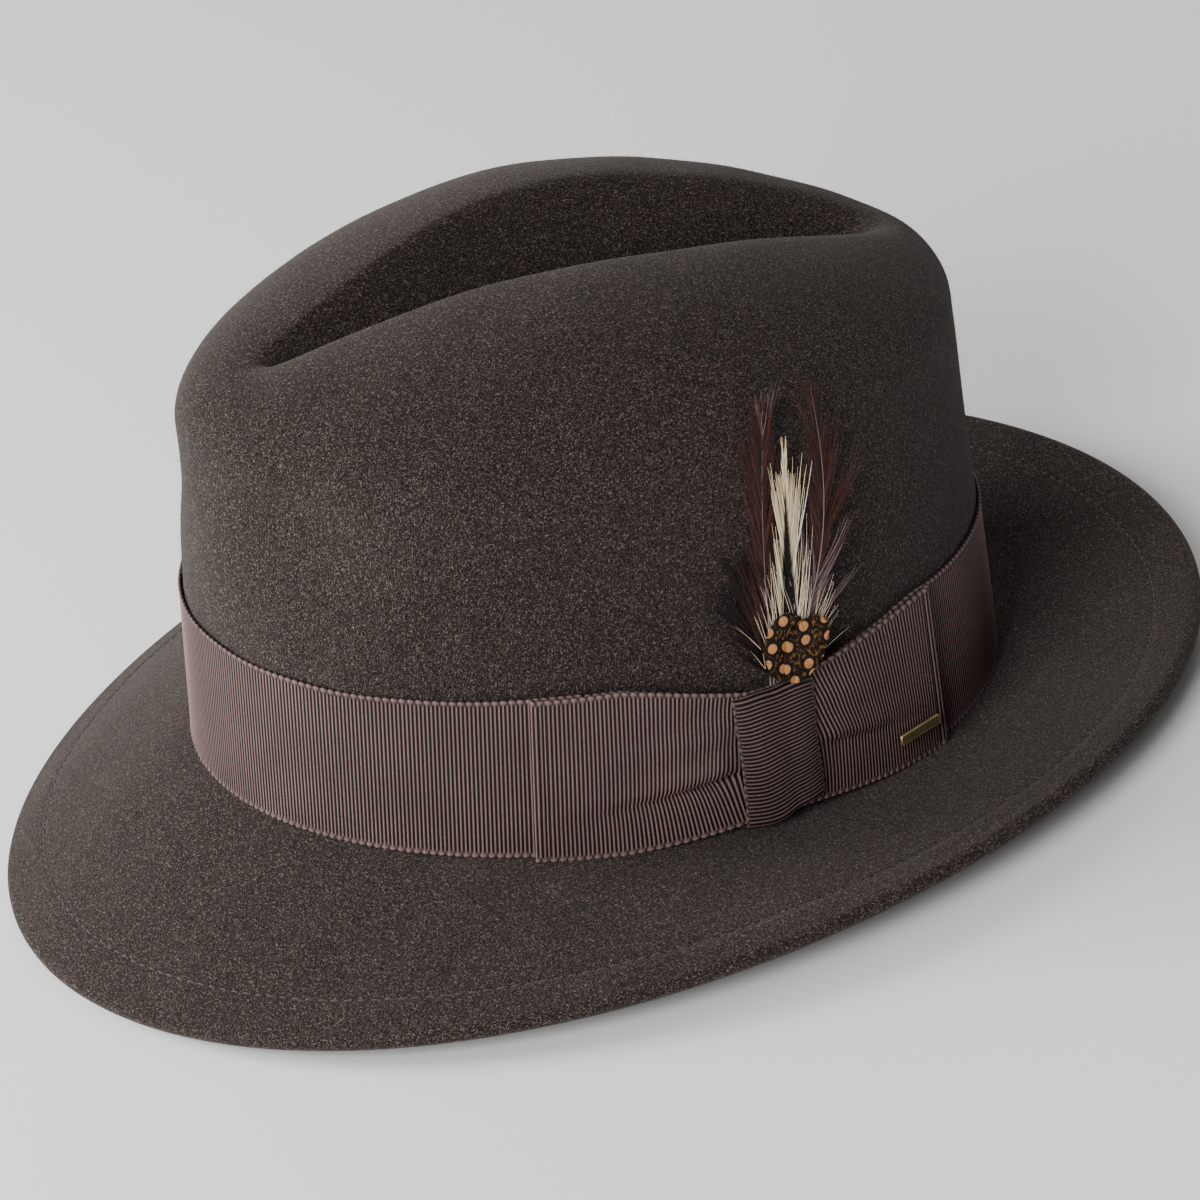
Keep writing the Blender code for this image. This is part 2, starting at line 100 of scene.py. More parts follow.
# Ribbon: the band, the bow's loops and its knot.
BAND_HEIGHT = 41.0
BAND_INNER = 0.35
BAND = 0.7
RIB_PITCH = 1.0
RIB_DEPTH = 0.24
RIB_STEPS = 5
PICOT_PITCH = 2.0
RIBBON = 0.55
GATHER_START = 9.0
FOLD_RADIUS = 0.72
HIDDEN_LAYER = 12.0
LOOP_GAP = 0.45
CREASE_START = 10.0
CREASE_SLOPE = 0.125
BOW_START = 59.6
BOW_END = 123.0
KNOT_ANGLE = 93.0
KNOT_HALF_WIDTH = 10.3
KNOT_LOW = 1.9
KNOT_HIGH = 34.8
KNOT_BACK = 2.6
KNOT_FRONT = 5.9
KNOT_BEND = 1.35
TOP_DRAW = 6.6
LOW_DRAW = 2.6
LEFT_REACH = 30.0
RIGHT_REACH = 40.0
PIN_START = 112.0
PIN_END = 120.0
PIN_HEIGHT = 9.2
PIN_INNER = 4.8
PIN_HALF_HEIGHT = 1.25
PIN_CORNER = 0.35
# The pin's section: share of its size left, height above its back, and how polished it is, which scales the
# rim's painted highlight.
PIN_PROFILE = (
    (1.00, 0.00, 0.5), (1.00, 0.35, 1.0), (0.97, 0.52, 1.0), (0.90, 0.60, 1.0),
    (0.84, 0.55, 0.6), (0.80, 0.46, 0.0), (0.50, 0.46, 0.0), (0.00, 0.46, 0.0),
)

# Feather spray.
SPRAY_Y = 7.0
SPRAY_LOW = 34.0
SPRAY_OFFSET = 1.8
SPRAY_LEAN = 8.0
VANE_PITCH = 0.85
BARB_STEPS = 6
SPOTTED_BARBS = 110
# Shafts of the long feathers: root and tip as (across, along) in the feather plane, and sideways bow.
SIDE_LINE = ((-1.5, 3.0), (-7.0, 31.0), -1.0)
FRONT_LINE = ((-1.2, 3.0), (2.6, 70.0), -1.4)
REAR_LINE = ((3.0, 3.0), (15.0, 72.0), 6.2)
CREAM_LINE = ((2.6, 3.0), (6.0, 58.0), 0.2)

# Inside.
LINING = 0.4
LINING_GAP = 0.8
LINING_LOW = 6.0
LINING_HIGH = 77.0
SWEATBAND = 1.2
SWEATBAND_LOW = -1.8
SWEATBAND_HIGH = 38.0
INNER_GAP = 0.35
FILM_HALF_WIDTH = 46.0
FILM_HALF_LENGTH = 62.0

# Studio lights: name, azimuth and elevation in degrees, distance and size in metres, power in watts.
LIGHTS = (
    ("key_light", -32, 23, 1.6, 0.8, 35.0),
    ("fill_light", 40, 30, 1.6, 0.8, 28.0),
    ("top_light", 60, 80, 1.5, 1.0, 3.0),
    ("rim_light", -120, 35, 1.7, 0.8, 5.0),
)
LIGHT_AIM = 0.06
WORLD_STRENGTH = 0.16
FLOOR_HALF_SIZE = 4.0

# Camera in the hat's frame: degrees, then millimetres away and across, then its lens.
CAMERA_AZIMUTH = 64.19
CAMERA_ELEVATION = 28.43
CAMERA_ROLL = -2.13
CAMERA_DISTANCE = 1123.7
CAMERA_RIGHT = 0.72
CAMERA_UP = 17.35
CAMERA_LENS = 132.15

# Points round the felt.
COLUMNS = 540

# ---------------------------------------------------------------- the hat's surfaces

SERIES = np.linalg.inv([[np.cos(k * radians(a)) for k in range(5)] for a in (0, 45, 90, 135, 180)])


def around(values, phi):
    """Value at angle phi of a smooth symmetric curve through five values, front to back."""
    weights = SERIES @ np.array(values)
    return sum(weights[k] * np.cos(k * phi) for k in range(5))


def smooth(value):
    """0 to 1 with level ends."""
    value = np.clip(value, 0, 1)
    return value * value * (3 - 2 * value)


def bell(value):
    return np.exp(-(value**2))


def oval(phi, inset=0.0):
    x = (HALF_WIDTH - inset) * np.sin(phi) * (1 - EGG * np.cos(phi))
    y = -(HALF_LENGTH - inset) * np.cos(phi)
    return np.stack(np.broadcast_arrays(x, y), -1)


def unit(vectors):
    """The vectors at a length of one."""
    length = np.linalg.norm(vectors, axis=-1, keepdims=True)
    return vectors / np.maximum(length, 1e-9)


def distances(path):
    """Distance along a path from its start to each of its points."""
    steps = np.linalg.norm(np.diff(path, axis=0), axis=1)
    return np.concatenate([[0], np.cumsum(steps)])


def even_angles(count):
    """Even angles round the hat."""
    return 2 * np.pi * np.arange(count) / count


def outward(phi):
    """Unit normal of the head oval in plan."""
    step = 0.001
    change = oval(phi + step) - oval(phi - step)
    return unit(np.stack([change[..., 1], -change[..., 0]], -1))


def pinch(phi, z):
    """How far the two front pinches press the crown in."""
    angle = np.abs((np.degrees(phi) + 180) % 360 - 180)
    across = ((angle - PINCH_ANGLE) / PINCH_SPREAD) ** 2
    return PINCH_DEPTH * np.exp(-across - ((z - PINCH_HEIGHT) / PINCH_RISE) ** 2)


def shoulder_start(phi):
    return around(CREST_HEIGHT, phi) - around(SHOULDER_RISE, phi)


def joined(plan, z):
    """Points from plan positions and heights."""
    return np.concatenate([plan, np.broadcast_to(z, plan.shape[:-1])[..., None]], -1)


def wall(phi, z, offset=0.0):
    """Points on the crown's upright wall at height z, offset outwards."""
    phi, z, offset = np.broadcast_arrays(np.asarray(phi, float), z, offset)
    plan = oval(phi, around(WALL_TAPER, phi) * z / shoulder_start(phi))
    return joined(plan + outward(phi) * (offset - pinch(phi, z))[..., None], z)


def shoulder(phi, turn):
    """Points on the rounded shoulder: turn 0 at the top of the wall, 1 at the crest of the dent."""
    angle = turn * np.pi / 2
    z = shoulder_start(phi) + around(SHOULDER_RISE, phi) * np.sin(angle)
    plan = oval(phi, around(WALL_TAPER, phi))
    crest_x = around(CREST_HALF_WIDTH, phi) * np.sin(phi)
    crest_y = -around(CREST_HALF_LENGTH, phi) * np.cos(phi)
    crest = np.stack([crest_x, crest_y], -1)
    plan = plan + (crest - plan) * (1 - np.cos(angle))
    return joined(plan - outward(phi) * pinch(phi, z)[..., None], z)


def dent(phi, depth):
    """Points inside the centre dent: depth 0 at the crest, 1 on the dent's floor line."""
    crest = shoulder(phi, 1.0)
    floor_y = (DENT_FRONT + DENT_BACK - (DENT_BACK - DENT_FRONT) * np.cos(phi)) / 2
    along = (floor_y - DENT_FRONT) / (DENT_BACK - DENT_FRONT)
    floor_z = DENT_FLOOR - DENT_SAG * np.sin(np.pi * along) - DENT_FALL * along
    floor = np.stack([np.zeros_like(phi), floor_y, floor_z], -1)
    point = crest + (floor - crest) * depth
    point[..., 2] = crest[..., 2] + (floor_z - crest[..., 2]) * smooth(depth)
    return point


def brim_drop(phi):
    """Height of the brim's edge against the crown's foot: low in front, and lower on the right."""
    even = -7.0 - 24.7 * np.cos(phi) - 2.3 * np.cos(2 * phi)
    return even + 6.6 * np.sin(phi) + 1.0 * np.sin(2 * phi)


def brim_width(phi):
    """The felt's width along its slope, from the crown to the brim's edge."""
    return BRIM_WIDTH + 3.7 * np.cos(phi) + 5.0 * np.cos(2 * phi)


def brim(phi, out):
    """Points on top of the brim: out 0 at the crown, 1 at the edge."""
    drop = brim_drop(phi)
    reach = np.sqrt(brim_width(phi) ** 2 - drop**2)
    plan = oval(phi) + outward(phi) * (reach * out)[..., None]
    return joined(plan, drop * out ** (1.45 - 0.3 * np.cos(phi)))


def arc_scale():
    """Angles round the crown, and the distance along the ribbon's line from the front to each."""
    phi = np.linspace(0, 2 * np.pi, 7201)
    return phi, distances(wall(phi, BAND_HEIGHT / 2, BAND))


ARC_PHI, ARC_LENGTH = arc_scale()


def arc_at(degrees):
    return np.interp(radians(degrees), ARC_PHI, ARC_LENGTH)


def phi_at(arc):
    return np.interp(arc, ARC_LENGTH, ARC_PHI)


def undulation(points):
    """A slow unevenness of about a quarter of a millimetre, as blocked felt has."""
    waves = (
        (0.11, 0.03, 0.05, 0.4), (-0.05, 0.12, 0.03, 1.9),
        (0.02, -0.07, 0.13, 3.1), (0.19, 0.16, -0.11, 5.0),
    )
    total = 0.0
    for x, y, z, phase in waves:
        total = total + np.sin(points @ np.array((x, y, z)) + phase)
    return 0.09 * total


# ---------------------------------------------------------------- meshes

TURN = Euler((radians(TIP_BACK), radians(ROLL), 0)).to_matrix().to_4x4()
HINGE = [joint for joint in frame["joints"] if joint["name"] == "brim_snap"][0]
SHIFT = Vector(HINGE["pos_m"]) - TURN @ Vector(HINGE_POINT) * MM
TO_ROW = np.array(Matrix.Translation(SHIFT) @ TURN)


def to_row(points):
    return np.asarray(points) @ TO_ROW[:3, :3].T * MM + TO_ROW[:3, 3]


def quads(rows, columns, wrap_rows=False, wrap_columns=False):
    """Faces of a grid of points, row by row."""
    i, j = np.meshgrid(
        np.arange(rows if wrap_rows else rows - 1),
        np.arange(columns if wrap_columns else columns - 1),
        indexing="ij",
    )
    k = (i + 1) % rows
    m = (j + 1) % columns
    corners = [i * columns + j, i * columns + m, k * columns + m, k * columns + j]
    return np.stack(corners, -1).reshape(-1, 4)


def linked(name, data):
    """A new object in the scene."""
    made = bpy.data.objects.new(name, data)
    bpy.context.scene.collection.objects.link(made)
    return made


def piece(name, points, faces, material, attributes=None, outwards=True):
    """An object from points in millimetres of the hat's frame. Attributes are values at each point."""
    points = np.asarray(points, float).reshape(-1, 3)
    mesh = bpy.data.meshes.new(name)
    mesh.from_pydata(to_row(points).tolist(), [], [list(map(int, face)) for face in faces])
    values = {"rest": points}
    values.update(attributes or {})
    for key, data in values.items():
        data = np.asarray(data, np.float32)
        kind = "FLOAT_VECTOR" if data.ndim > 1 and data.shape[-1] == 3 else "FLOAT"
        attribute = mesh.attributes.new(key, kind, "POINT")
        attribute.data.foreach_set("vector" if kind == "FLOAT_VECTOR" else "value", data.ravel())
    if outwards:
        shape = bmesh.new()
        shape.from_mesh(mesh)
        bmesh.ops.recalc_face_normals(shape, faces=shape.faces)
        shape.to_mesh(mesh)
        shape.free()
    mesh.shade_smooth()
    mesh.materials.append(material)
    return linked(name, mesh)


def stands_for(nodes):
    """Hides those CAD nodes, which a new piece replaces."""
    if nodes:
        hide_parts(*nodes)


def belongs(obj, body, slot, *nodes):
    """obj moves with body."""
    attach(obj, body)
    stands_for(nodes)


def bends(obj, slot, *nodes):
    """obj keeps its place with its transform baked into its points, and replaces those CAD nodes."""
    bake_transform(obj)
    stands_for(nodes)


def closed_sheet(name, front, back, wrap_columns, look, attributes=None):
    """A piece that is a closed shell between two grids of points."""
    rows, columns = front.shape[:2]
    grid = np.concatenate([front, back[::-1]], 0)
    faces = [quads(2 * rows, columns, True, wrap_columns)]
    if not wrap_columns:
        for column in (0, columns - 1):
            k = np.arange(rows - 1)
            near = k * columns + column
            far = (2 * rows - 1 - k) * columns + column
            faces.append(np.stack([near, near + columns, far - columns, far], -1))
    return piece(name, grid, np.concatenate(faces), look, attributes)


def direction_along(points, axis, closed):
    """Which way rows or columns of points run, at each point."""
    if closed:
        return np.roll(points, -1, axis) - np.roll(points, 1, axis)
    return np.gradient(points, axis=axis)


def grid_normals(grid, wrap_columns=False):
    """Unit normals of a grid of points."""
    return unit(np.cross(direction_along(grid, 1, wrap_columns), np.gradient(grid, axis=0)))


class Parts:
    """Gathers many small shapes into one mesh."""

    def __init__(self):
        self.points = []
        self.faces = []
        self.values = {}
        self.count = 0

    def add(self, points, faces, **values):
        points = np.asarray(points, float).reshape(-1, 3)
        self.points.append(points)
        self.faces += [[k + self.count for k in face] for face in faces]
        for key, value in values.items():
            shape = (len(points),) + np.shape(value)[1:] if np.ndim(value) else (len(points),)
            self.values.setdefault(key, []).append(np.broadcast_to(value, shape))
        self.count += len(points)

    def make(self, name, material, outwards=True):
        attributes = {key: np.concatenate(value) for key, value in self.values.items()}
        return piece(name, np.concatenate(self.points), self.faces, material, attributes, outwards)


def tube(path, radius, sides, closed=False, helper=(0, 0, 1)):
    """Points and faces of a round tube along a path. radius is one number, or one for each point."""
    path = np.asarray(path, float)
    tangent = unit(direction_along(path, 0, closed))
    side = unit(np.cross(tangent, np.array(helper, float)))
    up = np.cross(side, tangent)
    turns = even_angles(sides)
    radius = np.broadcast_to(radius, len(path))[:, None, None]
    ring = np.cos(turns)[None, :, None] * side[:, None] + np.sin(turns)[None, :, None] * up[:, None]
    faces = quads(len(path), sides, closed, True).tolist()
    if not closed:
        faces.append(list(range(sides))[::-1])
        faces.append([(len(path) - 1) * sides + k for k in range(sides)])
    return (path[:, None] + ring * radius).reshape(-1, 3), faces


def resampled(path, pitch):
    """Points at even distances along a closed path."""
    path = np.concatenate([path, path[:1]])
    length = distances(path)
    count = int(round(length[-1] / pitch))
    wanted = np.arange(count) * length[-1] / count
    return np.stack([np.interp(wanted, length, column) for column in path.T], -1)


def rounded_box(low, high, radius, steps):
    """The outline of a box with rounded corners, anticlockwise from its right side."""
    low = np.array(low) + radius
    high = np.array(high) - radius
    outline = []
    for k, corner in enumerate(((1, 1), (0, 1), (0, 0), (1, 0))):
        for turn in np.pi / 2 * (k + np.linspace(0, 1, steps)):
            outline.append(np.where(corner, high, low) + radius * np.array((np.cos(turn), np.sin(turn))))
    return np.array(outline)


def dashes(parts, path, sink, pitch, length, radius):
    """Stitches along a closed path: each one dives into the material at its ends, along sink."""
    arch = np.array((0.55, 0.15, 0.0, -0.05, 0.0, 0.15, 0.55))
    thick = radius * np.array((0.7, 0.95, 1.0, 1.05, 1.0, 0.95, 0.7))
    fine_pitch = length / (len(arch) - 1)
    every = int(round(pitch / fine_pitch))
    fine = resampled(path, fine_pitch)
    down = sink[(np.arange(len(fine)) * len(sink) / len(fine)).astype(int)]
    for k in range(len(fine) // every):
        chosen = (np.arange(len(arch)) + k * every) % len(fine)
        line = fine[chosen] + down[chosen] * arch[:, None] + rng.normal(0, 0.02, 3)
        parts.add(*tube(line, thick, 6), tone=rng.uniform(0, 1))


# ---------------------------------------------------------------- materials


class Shader:
    """A Principled material with short ways to add nodes. Lengths are in millimetres of the hat's frame."""

    def __init__(self, name, roughness, metallic=0.0, **constants):
        self.material = bpy.data.materials.new(name)
        self.material.use_nodes = True
        self.tree = self.material.node_tree
        self.shader = self.tree.nodes["Principled BSDF"]
        self.shader.inputs["Roughness"].default_value = roughness
        self.shader.inputs["Metallic"].default_value = metallic
        for key, value in constants.items():
            self.shader.inputs[key.replace("_", " ")].default_value = value

    def feed(self, socket, value):
        if isinstance(value, bpy.types.NodeSocket):
            self.tree.links.new(value, socket)
        else:
            socket.default_value = value

    def set(self, key, value):
        self.feed(self.shader.inputs[key], value)

    def add(self, kind):
        """A new node of that kind."""
        return self.tree.nodes.new("ShaderNode" + kind)

    def attribute(self, name, output="Fac"):
        node = self.add("Attribute")
        node.attribute_name = name
        return node.outputs[output]

    def rest(self, stretch, source):
        """Rest coordinates in millimetres, stretched by one number or by three."""
        node = self.add("VectorMath")
        node.operation = "MULTIPLY"
        self.feed(node.inputs[0], self.attribute(source, "Vector"))
        node.inputs[1].default_value = np.broadcast_to(stretch, 3).tolist()
        return node.outputs[0]

    def noise(self, stretch, detail=2.0, source="rest"):
        """Noise whose features are about one unit across after the stretch."""
        node = self.add("TexNoise")
        node.inputs["Scale"].default_value = 1.0
        node.inputs["Detail"].default_value = detail
        self.feed(node.inputs["Vector"], self.rest(stretch, source))
        return node.outputs["Fac"]

    def cells(self, stretch, randomness=1.0, source="rest"):
        """Distance to the nearest of many scattered points, about one unit apart after the stretch."""
        node = self.add("TexVoronoi")
        node.voronoi_dimensions = "2D" if source == "plane" else "3D"
        node.inputs["Scale"].default_value = 1.0
        node.inputs["Randomness"].default_value = randomness
        self.feed(node.inputs["Vector"], self.rest(stretch, source))
        return node.outputs["Distance"]

    def math(self, operation, first, second=0.0):
        node = self.add("Math")
        node.operation = operation
        self.feed(node.inputs[0], first)
        self.feed(node.inputs[1], second)
        return node.outputs[0]

    def span(self, value, low, high, to_low=0.0, to_high=1.0):
        """value mapped from one range to another, smoothly and with its ends held."""
        node = self.add("MapRange")
        node.interpolation_type = "SMOOTHSTEP"
        self.feed(node.inputs[0], value)
        for k, number in enumerate((low, high, to_low, to_high)):
            node.inputs[k + 1].default_value = number
        return node.outputs[0]

    def between(self, noise, low, high):
        """Noise spread over a range. Most of it lies from 0.3 to 0.7."""
        return self.span(noise, 0.3, 0.7, low, high)

    def mix(self, factor, first, second):
        """A colour between two, each a colour or a socket."""
        node = self.add("Mix")
        node.data_type = "RGBA"
        self.feed(node.inputs[0], factor)
        for socket, value in ((node.inputs[6], first), (node.inputs[7], second)):
            self.feed(socket, (*value, 1) if isinstance(value, tuple) else value)
        return node.outputs[2]

    def scaled(self, colour, factor):
        """A colour made lighter or darker by a factor that varies."""
        node = self.add("VectorMath")
        node.operation = "SCALE"
        self.feed(node.inputs[0], colour)
        self.feed(node.inputs["Scale"], factor)
        return node.outputs[0]

    def bump(self, height, distance, strength=1.0):
        node = self.add("Bump")
        node.inputs["Strength"].default_value = strength
        node.inputs["Distance"].default_value = distance * MM
        self.feed(node.inputs["Height"], height)
        self.set("Normal", node.outputs[0])


def highest(made, values):
    top = values[0]
    for value in values[1:]:
        top = made.math("MAXIMUM", top, value)
    return top


def felt_material():
    """Brown heather fur felt: short fibres, lighter and darker than the ground, lying every way."""
    made = Shader("fur_felt", 0.95, Sheen_Weight=0.10, Sheen_Roughness=0.45, Specular_IOR_Level=0.15)
    made.shader.inputs["Sheen Tint"].default_value = (0.95, 0.86, 0.80, 1)
    long, short = 1.05, 3.1
    directions = ((long, short, short), (short, long, short), (short, short, long))
    fibres = highest(made, [made.noise(stretch) for stretch in directions])
    shifted = [tuple(1.13 * value for value in stretch) for stretch in directions]
    dark = highest(made, [made.noise(stretch) for stretch in shifted])
    ground = made.mix(made.noise(0.05), (0.0210, 0.0153, 0.0138), (0.0280, 0.0211, 0.0190))
    warm = made.mix(made.noise(0.9, 0.0), (0.165, 0.125, 0.115), (0.158, 0.110, 0.088))
    colour = made.mix(made.span(dark, 0.50, 0.66), ground, (0.0030, 0.0022, 0.0019))
    colour = made.mix(made.span(fibres, 0.58, 0.74), colour, warm)
    made.set("Base Color", colour)
    made.bump(made.math("ADD", fibres, made.noise(2.2)), 0.28, 0.7)
    return made.material


def fuzz_material():
    """Loose fibres of the felt, each with its own tone."""
    made = Shader("felt_fibre", 0.85, Sheen_Weight=0.3)
    made.set("Base Color", made.mix(made.attribute("tone"), (0.012, 0.009, 0.008), (0.075, 0.060, 0.050)))
    return made.material


def ribbon_material(name, depth=1.0):
    """Ribbed silk grosgrain. rib is 0 in a groove and 1 on a rib's back; selvage is 1 on an edge loop.
    depth below 1 darkens the whole ribbon as painted shade, for the knot."""
    made = Shader(name, 0.50, Sheen_Weight=0.03, Specular_IOR_Level=0.22)
    rib = made.span(made.attribute("rib"), 0.45, 0.95)
    weft = made.noise(1.6, 3.0)
    crest = made.mix(weft, (0.125, 0.070, 0.066), (0.285, 0.176, 0.162))
    # Painted shade: the grooves, where rib is low, are painted nearly black, and so are faces given a low
    # rib. The rib backs carry the ribbon's colour, partly lightened as painted highlight.
    colour = made.mix(rib, (0.0012, 0.0007, 0.0007), crest)
    colour = made.mix(made.attribute("selvage"), colour, (0.200, 0.128, 0.120))
    # Random mottle, times depth, which paints shade over the whole ribbon when below 1.
    shade = made.between(made.noise(0.05), 0.88 * depth, 1.08 * depth)
    made.set("Base Color", made.scaled(colour, shade))
    made.set("Roughness", made.between(weft, 0.40, 0.62))
    thread = made.noise((3.2, 3.2, 6.5), 1.0)
    made.bump(thread, 0.06, 0.6)
    return made.material


def plain_material(name, dark, light, roughness=0.7, sheen=0.2, mottle=4.0, grain=6.0, depth=0.05):
    """Sewing thread, or a bare quill or a cord when it is smoother."""
    made = Shader(name, roughness, Sheen_Weight=sheen)
    made.set("Base Color", made.mix(made.noise(mottle), dark, light))
    made.bump(made.noise(grain), depth)
    return made.material


def brass_material():
    """Dull brass face with a polished rim, painted lighter towards its top edge as a painted highlight. The
    rim attribute is 1 on the rim's top edge.
    """
    made = Shader("pale_brass", 0.25, 1.0)
    wear = made.noise(0.25, 1.0)
    face = made.mix(wear, (0.300, 0.240, 0.130), (0.340, 0.275, 0.155))
    made.set("Base Color", made.mix(made.attribute("rim"), face, (0.78, 0.62, 0.32)))
    made.set("Roughness", made.between(wear, 0.46, 0.54))
    return made.material


def barb_material(name, dark, light, heart, pale):
    """A feather's barbs. tone varies from barb to barb, heart is 1 in the dark middle, faded is 1 on a
    barb that has lost its dye."""
    made = Shader(name, 0.42, Specular_IOR_Level=0.18)
    streak = made.noise((2.5, 2.5, 0.6), 2.0)
    tone = made.math("MULTIPLY", made.attribute("tone"), made.between(streak, 0.6, 1.15))
    colour = made.mix(tone, dark, light)
    colour = made.mix(made.attribute("faded"), colour, pale)
    made.set("Base Color", made.mix(made.attribute("heart"), colour, heart))
    made.bump(made.noise((5.0, 5.0, 2.0)), 0.04)
    return made.material


def spotted_material():
    """Black and gold mottle with round tan spots ringed in black, laid out on the feather's own plane."""
    made = Shader("spotted_barbs", 0.5, Specular_IOR_Level=0.15)
    distance = made.cells(0.205, 0.6, "plane")
    mottle = made.noise((1.3, 0.9, 1.0), 3.0, "plane")
    ground = made.mix(made.span(mottle, 0.47, 0.64), (0.006, 0.0035, 0.002), (0.170, 0.080, 0.022))
    ring = made.span(distance, 0.36, 0.50)
    colour = made.mix(ring, (0.008, 0.005, 0.004), ground)
    spot = made.mix(made.noise(0.8, 1.0, "plane"), (0.420, 0.170, 0.055), (0.640, 0.310, 0.130))
    colour = made.mix(made.span(distance, 0.23, 0.28), spot, colour)
    made.set("Base Color", made.scaled(colour, made.span(made.attribute("tone"), 0.0, 1.0, 0.35, 1.05)))
    made.bump(made.noise((5.0, 5.0, 2.0)), 0.04)
    return made.material


def leather_material():
    """Waxed brown leather with fine pores."""
    made = Shader("sweatband_leather", 0.42, Coat_Weight=0.15, Coat_Roughness=0.4)
    pores = made.cells(1.4)
    mottle = made.noise(0.12, 3.0)
    colour = made.mix(mottle, (0.060, 0.030, 0.016), (0.120, 0.068, 0.038))
    made.set("Base Color", made.mix(made.span(pores, 0.0, 0.35, 0.5, 0.0), colour, (0.030, 0.015, 0.009)))
    made.set("Roughness", made.between(mottle, 0.36, 0.52))
    made.bump(pores, 0.10, 0.6)
    return made.material


def satin_material():
    """Dark brown lining satin."""
    made = Shader("lining_satin", 0.30, Sheen_Weight=0.3, Anisotropic=0.4, Specular_IOR_Level=0.5)
    weave = made.noise((3.0, 3.0, 0.5), 2.0)
    made.set("Base Color", made.mix(weave, (0.055, 0.038, 0.033), (0.105, 0.076, 0.066)))
    made.set("Roughness", made.between(weave, 0.24, 0.38))
    made.bump(weave, 0.03, 0.5)
    return made.material


def clear_material():
    """Thin clear film: it lets the satin show and adds only a light gloss."""
    made = Shader("clear_film", 0.10, Alpha=0.16, Specular_IOR_Level=1.0)
    haze = made.noise(0.08, 3.0)
    made.set("Base Color", made.mix(haze, (0.130, 0.112, 0.104), (0.160, 0.140, 0.130)))
    made.set("Roughness", made.between(haze, 0.05, 0.16))
    return made.material


FELT_LOOK = felt_material()
FUZZ_LOOK = fuzz_material()
RIBBON_LOOK = ribbon_material("grosgrain")
# The knot's ribbon is the same grosgrain darkened as painted shade.
KNOT_SHADED_LOOK = ribbon_material("knot_grosgrain_painted_shade", 0.66)
WELT_THREAD = plain_material("welt_thread", (0.024, 0.017, 0.014), (0.056, 0.042, 0.036))
BAND_THREAD = plain_material("sweatband_thread", (0.190, 0.140, 0.100), (0.300, 0.235, 0.175))
BRASS_LOOK = brass_material()
BROWN_LOOK = barb_material(
    "brown_barbs", (0.006, 0.002, 0.0018), (0.090, 0.027, 0.017), (0.008, 0.003, 0.002), (0.200, 0.145, 0.150)
)
DARK_LOOK = barb_material(
    "dark_barbs", (0.003, 0.0012, 0.0012), (0.018, 0.006, 0.0055), (0.003, 0.001, 0.001),
    (0.060, 0.040, 0.040),
)
CREAM_LOOK = barb_material(
    "cream_barbs", (0.540, 0.400, 0.230), (0.960, 0.850, 0.600), (0.005, 0.0035, 0.003), (0.860, 0.830, 0.780)
)
SPOTTED_LOOK = spotted_material()
QUILL_LOOK = plain_material("quill_horn", (0.150, 0.105, 0.095), (0.330, 0.270, 0.250), 0.35)
SHAFT_LOOK = plain_material("hackle_shaft", (0.110, 0.078, 0.080), (0.210, 0.160, 0.165), 0.35)
LEATHER_LOOK = leather_material()
SATIN_LOOK = satin_material()
CLEAR_LOOK = clear_material()
REED_LOOK = plain_material(
    "reed_plastic", (0.020, 0.018, 0.017), (0.045, 0.041, 0.038), 0.35,
    sheen=0.0, mottle=0.8, grain=4.0, depth=0.03,
)

# ---------------------------------------------------------------- felt


def felt_levels():
    """Where the felt's rings run, from the brim's edge to the dent's floor, as (kind, value) pairs."""
    edge = 1 - WELT / 2 / BRIM_WIDTH
    step = 1 - WELT_WIDTH / BRIM_WIDTH
    on_welt, over_step, to_crown = BRIM_RINGS
    levels = [("brim", value) for value in np.linspace(edge, step + 0.024, on_welt)]
    levels += [("brim", value) for value in np.linspace(step + 0.016, step - 0.030, over_step)]
    levels += [("brim", value) for value in np.linspace(step - 0.045, 0.0, to_crown)]
    levels += [("wall", value) for value in np.linspace(0.012, 1.0, 42)]
    levels += [("shoulder", value) for value in np.linspace(0.05, 1.0, 20)]
    levels += [("dent", value) for value in np.linspace(0.04, 1.0, 26)]
    return levels


def felt_grids():
    """The felt's upper and lower faces as grids, and the upper face's normals."""
    phi = even_angles(COLUMNS)
    rows = []
    depths = []
    rises = []
    for kind, value in felt_levels():
        depth = FELT
        rise = 0.0
        if kind == "brim":
            rows.append(brim(phi, np.full(COLUMNS, value)))
            from_edge = (1 - value) * BRIM_WIDTH
            in_welt = 1 - smooth((from_edge - WELT_WIDTH + 0.3) / 0.6)
            depth = FELT + (WELT - FELT) * in_welt
            thread = bell((from_edge - STITCH_INSET) / 0.9)
            rise = 0.15 * (1 - smooth((from_edge - WELT_WIDTH + 2) / 4)) - 0.22 * thread
        elif kind == "wall":
            rows.append(wall(phi, shoulder_start(phi) * value))
        elif kind == "shoulder":
            rows.append(shoulder(phi, value))
        else:
            rows.append(dent(phi, value))
        depths.append(depth)
        rises.append(rise)
    top = np.stack(rows)
    normal = grid_normals(top, True)
    normal[-1] = normal[-2]
    normal[-1, :, :2] = 0
    normal = unit(normal)
    in_front_wall = sum(BRIM_RINGS) + 5
    if normal[in_front_wall, 0, 1] > 0:
        normal = -normal
    wander = undulation(top) * smooth(np.arange(len(rows)) / 6)[:, None]
    top = top + normal * (np.array(rises)[:, None] + wander)[..., None]
    low = top - normal * np.array(depths)[:, None, None]
    return top, low, normal


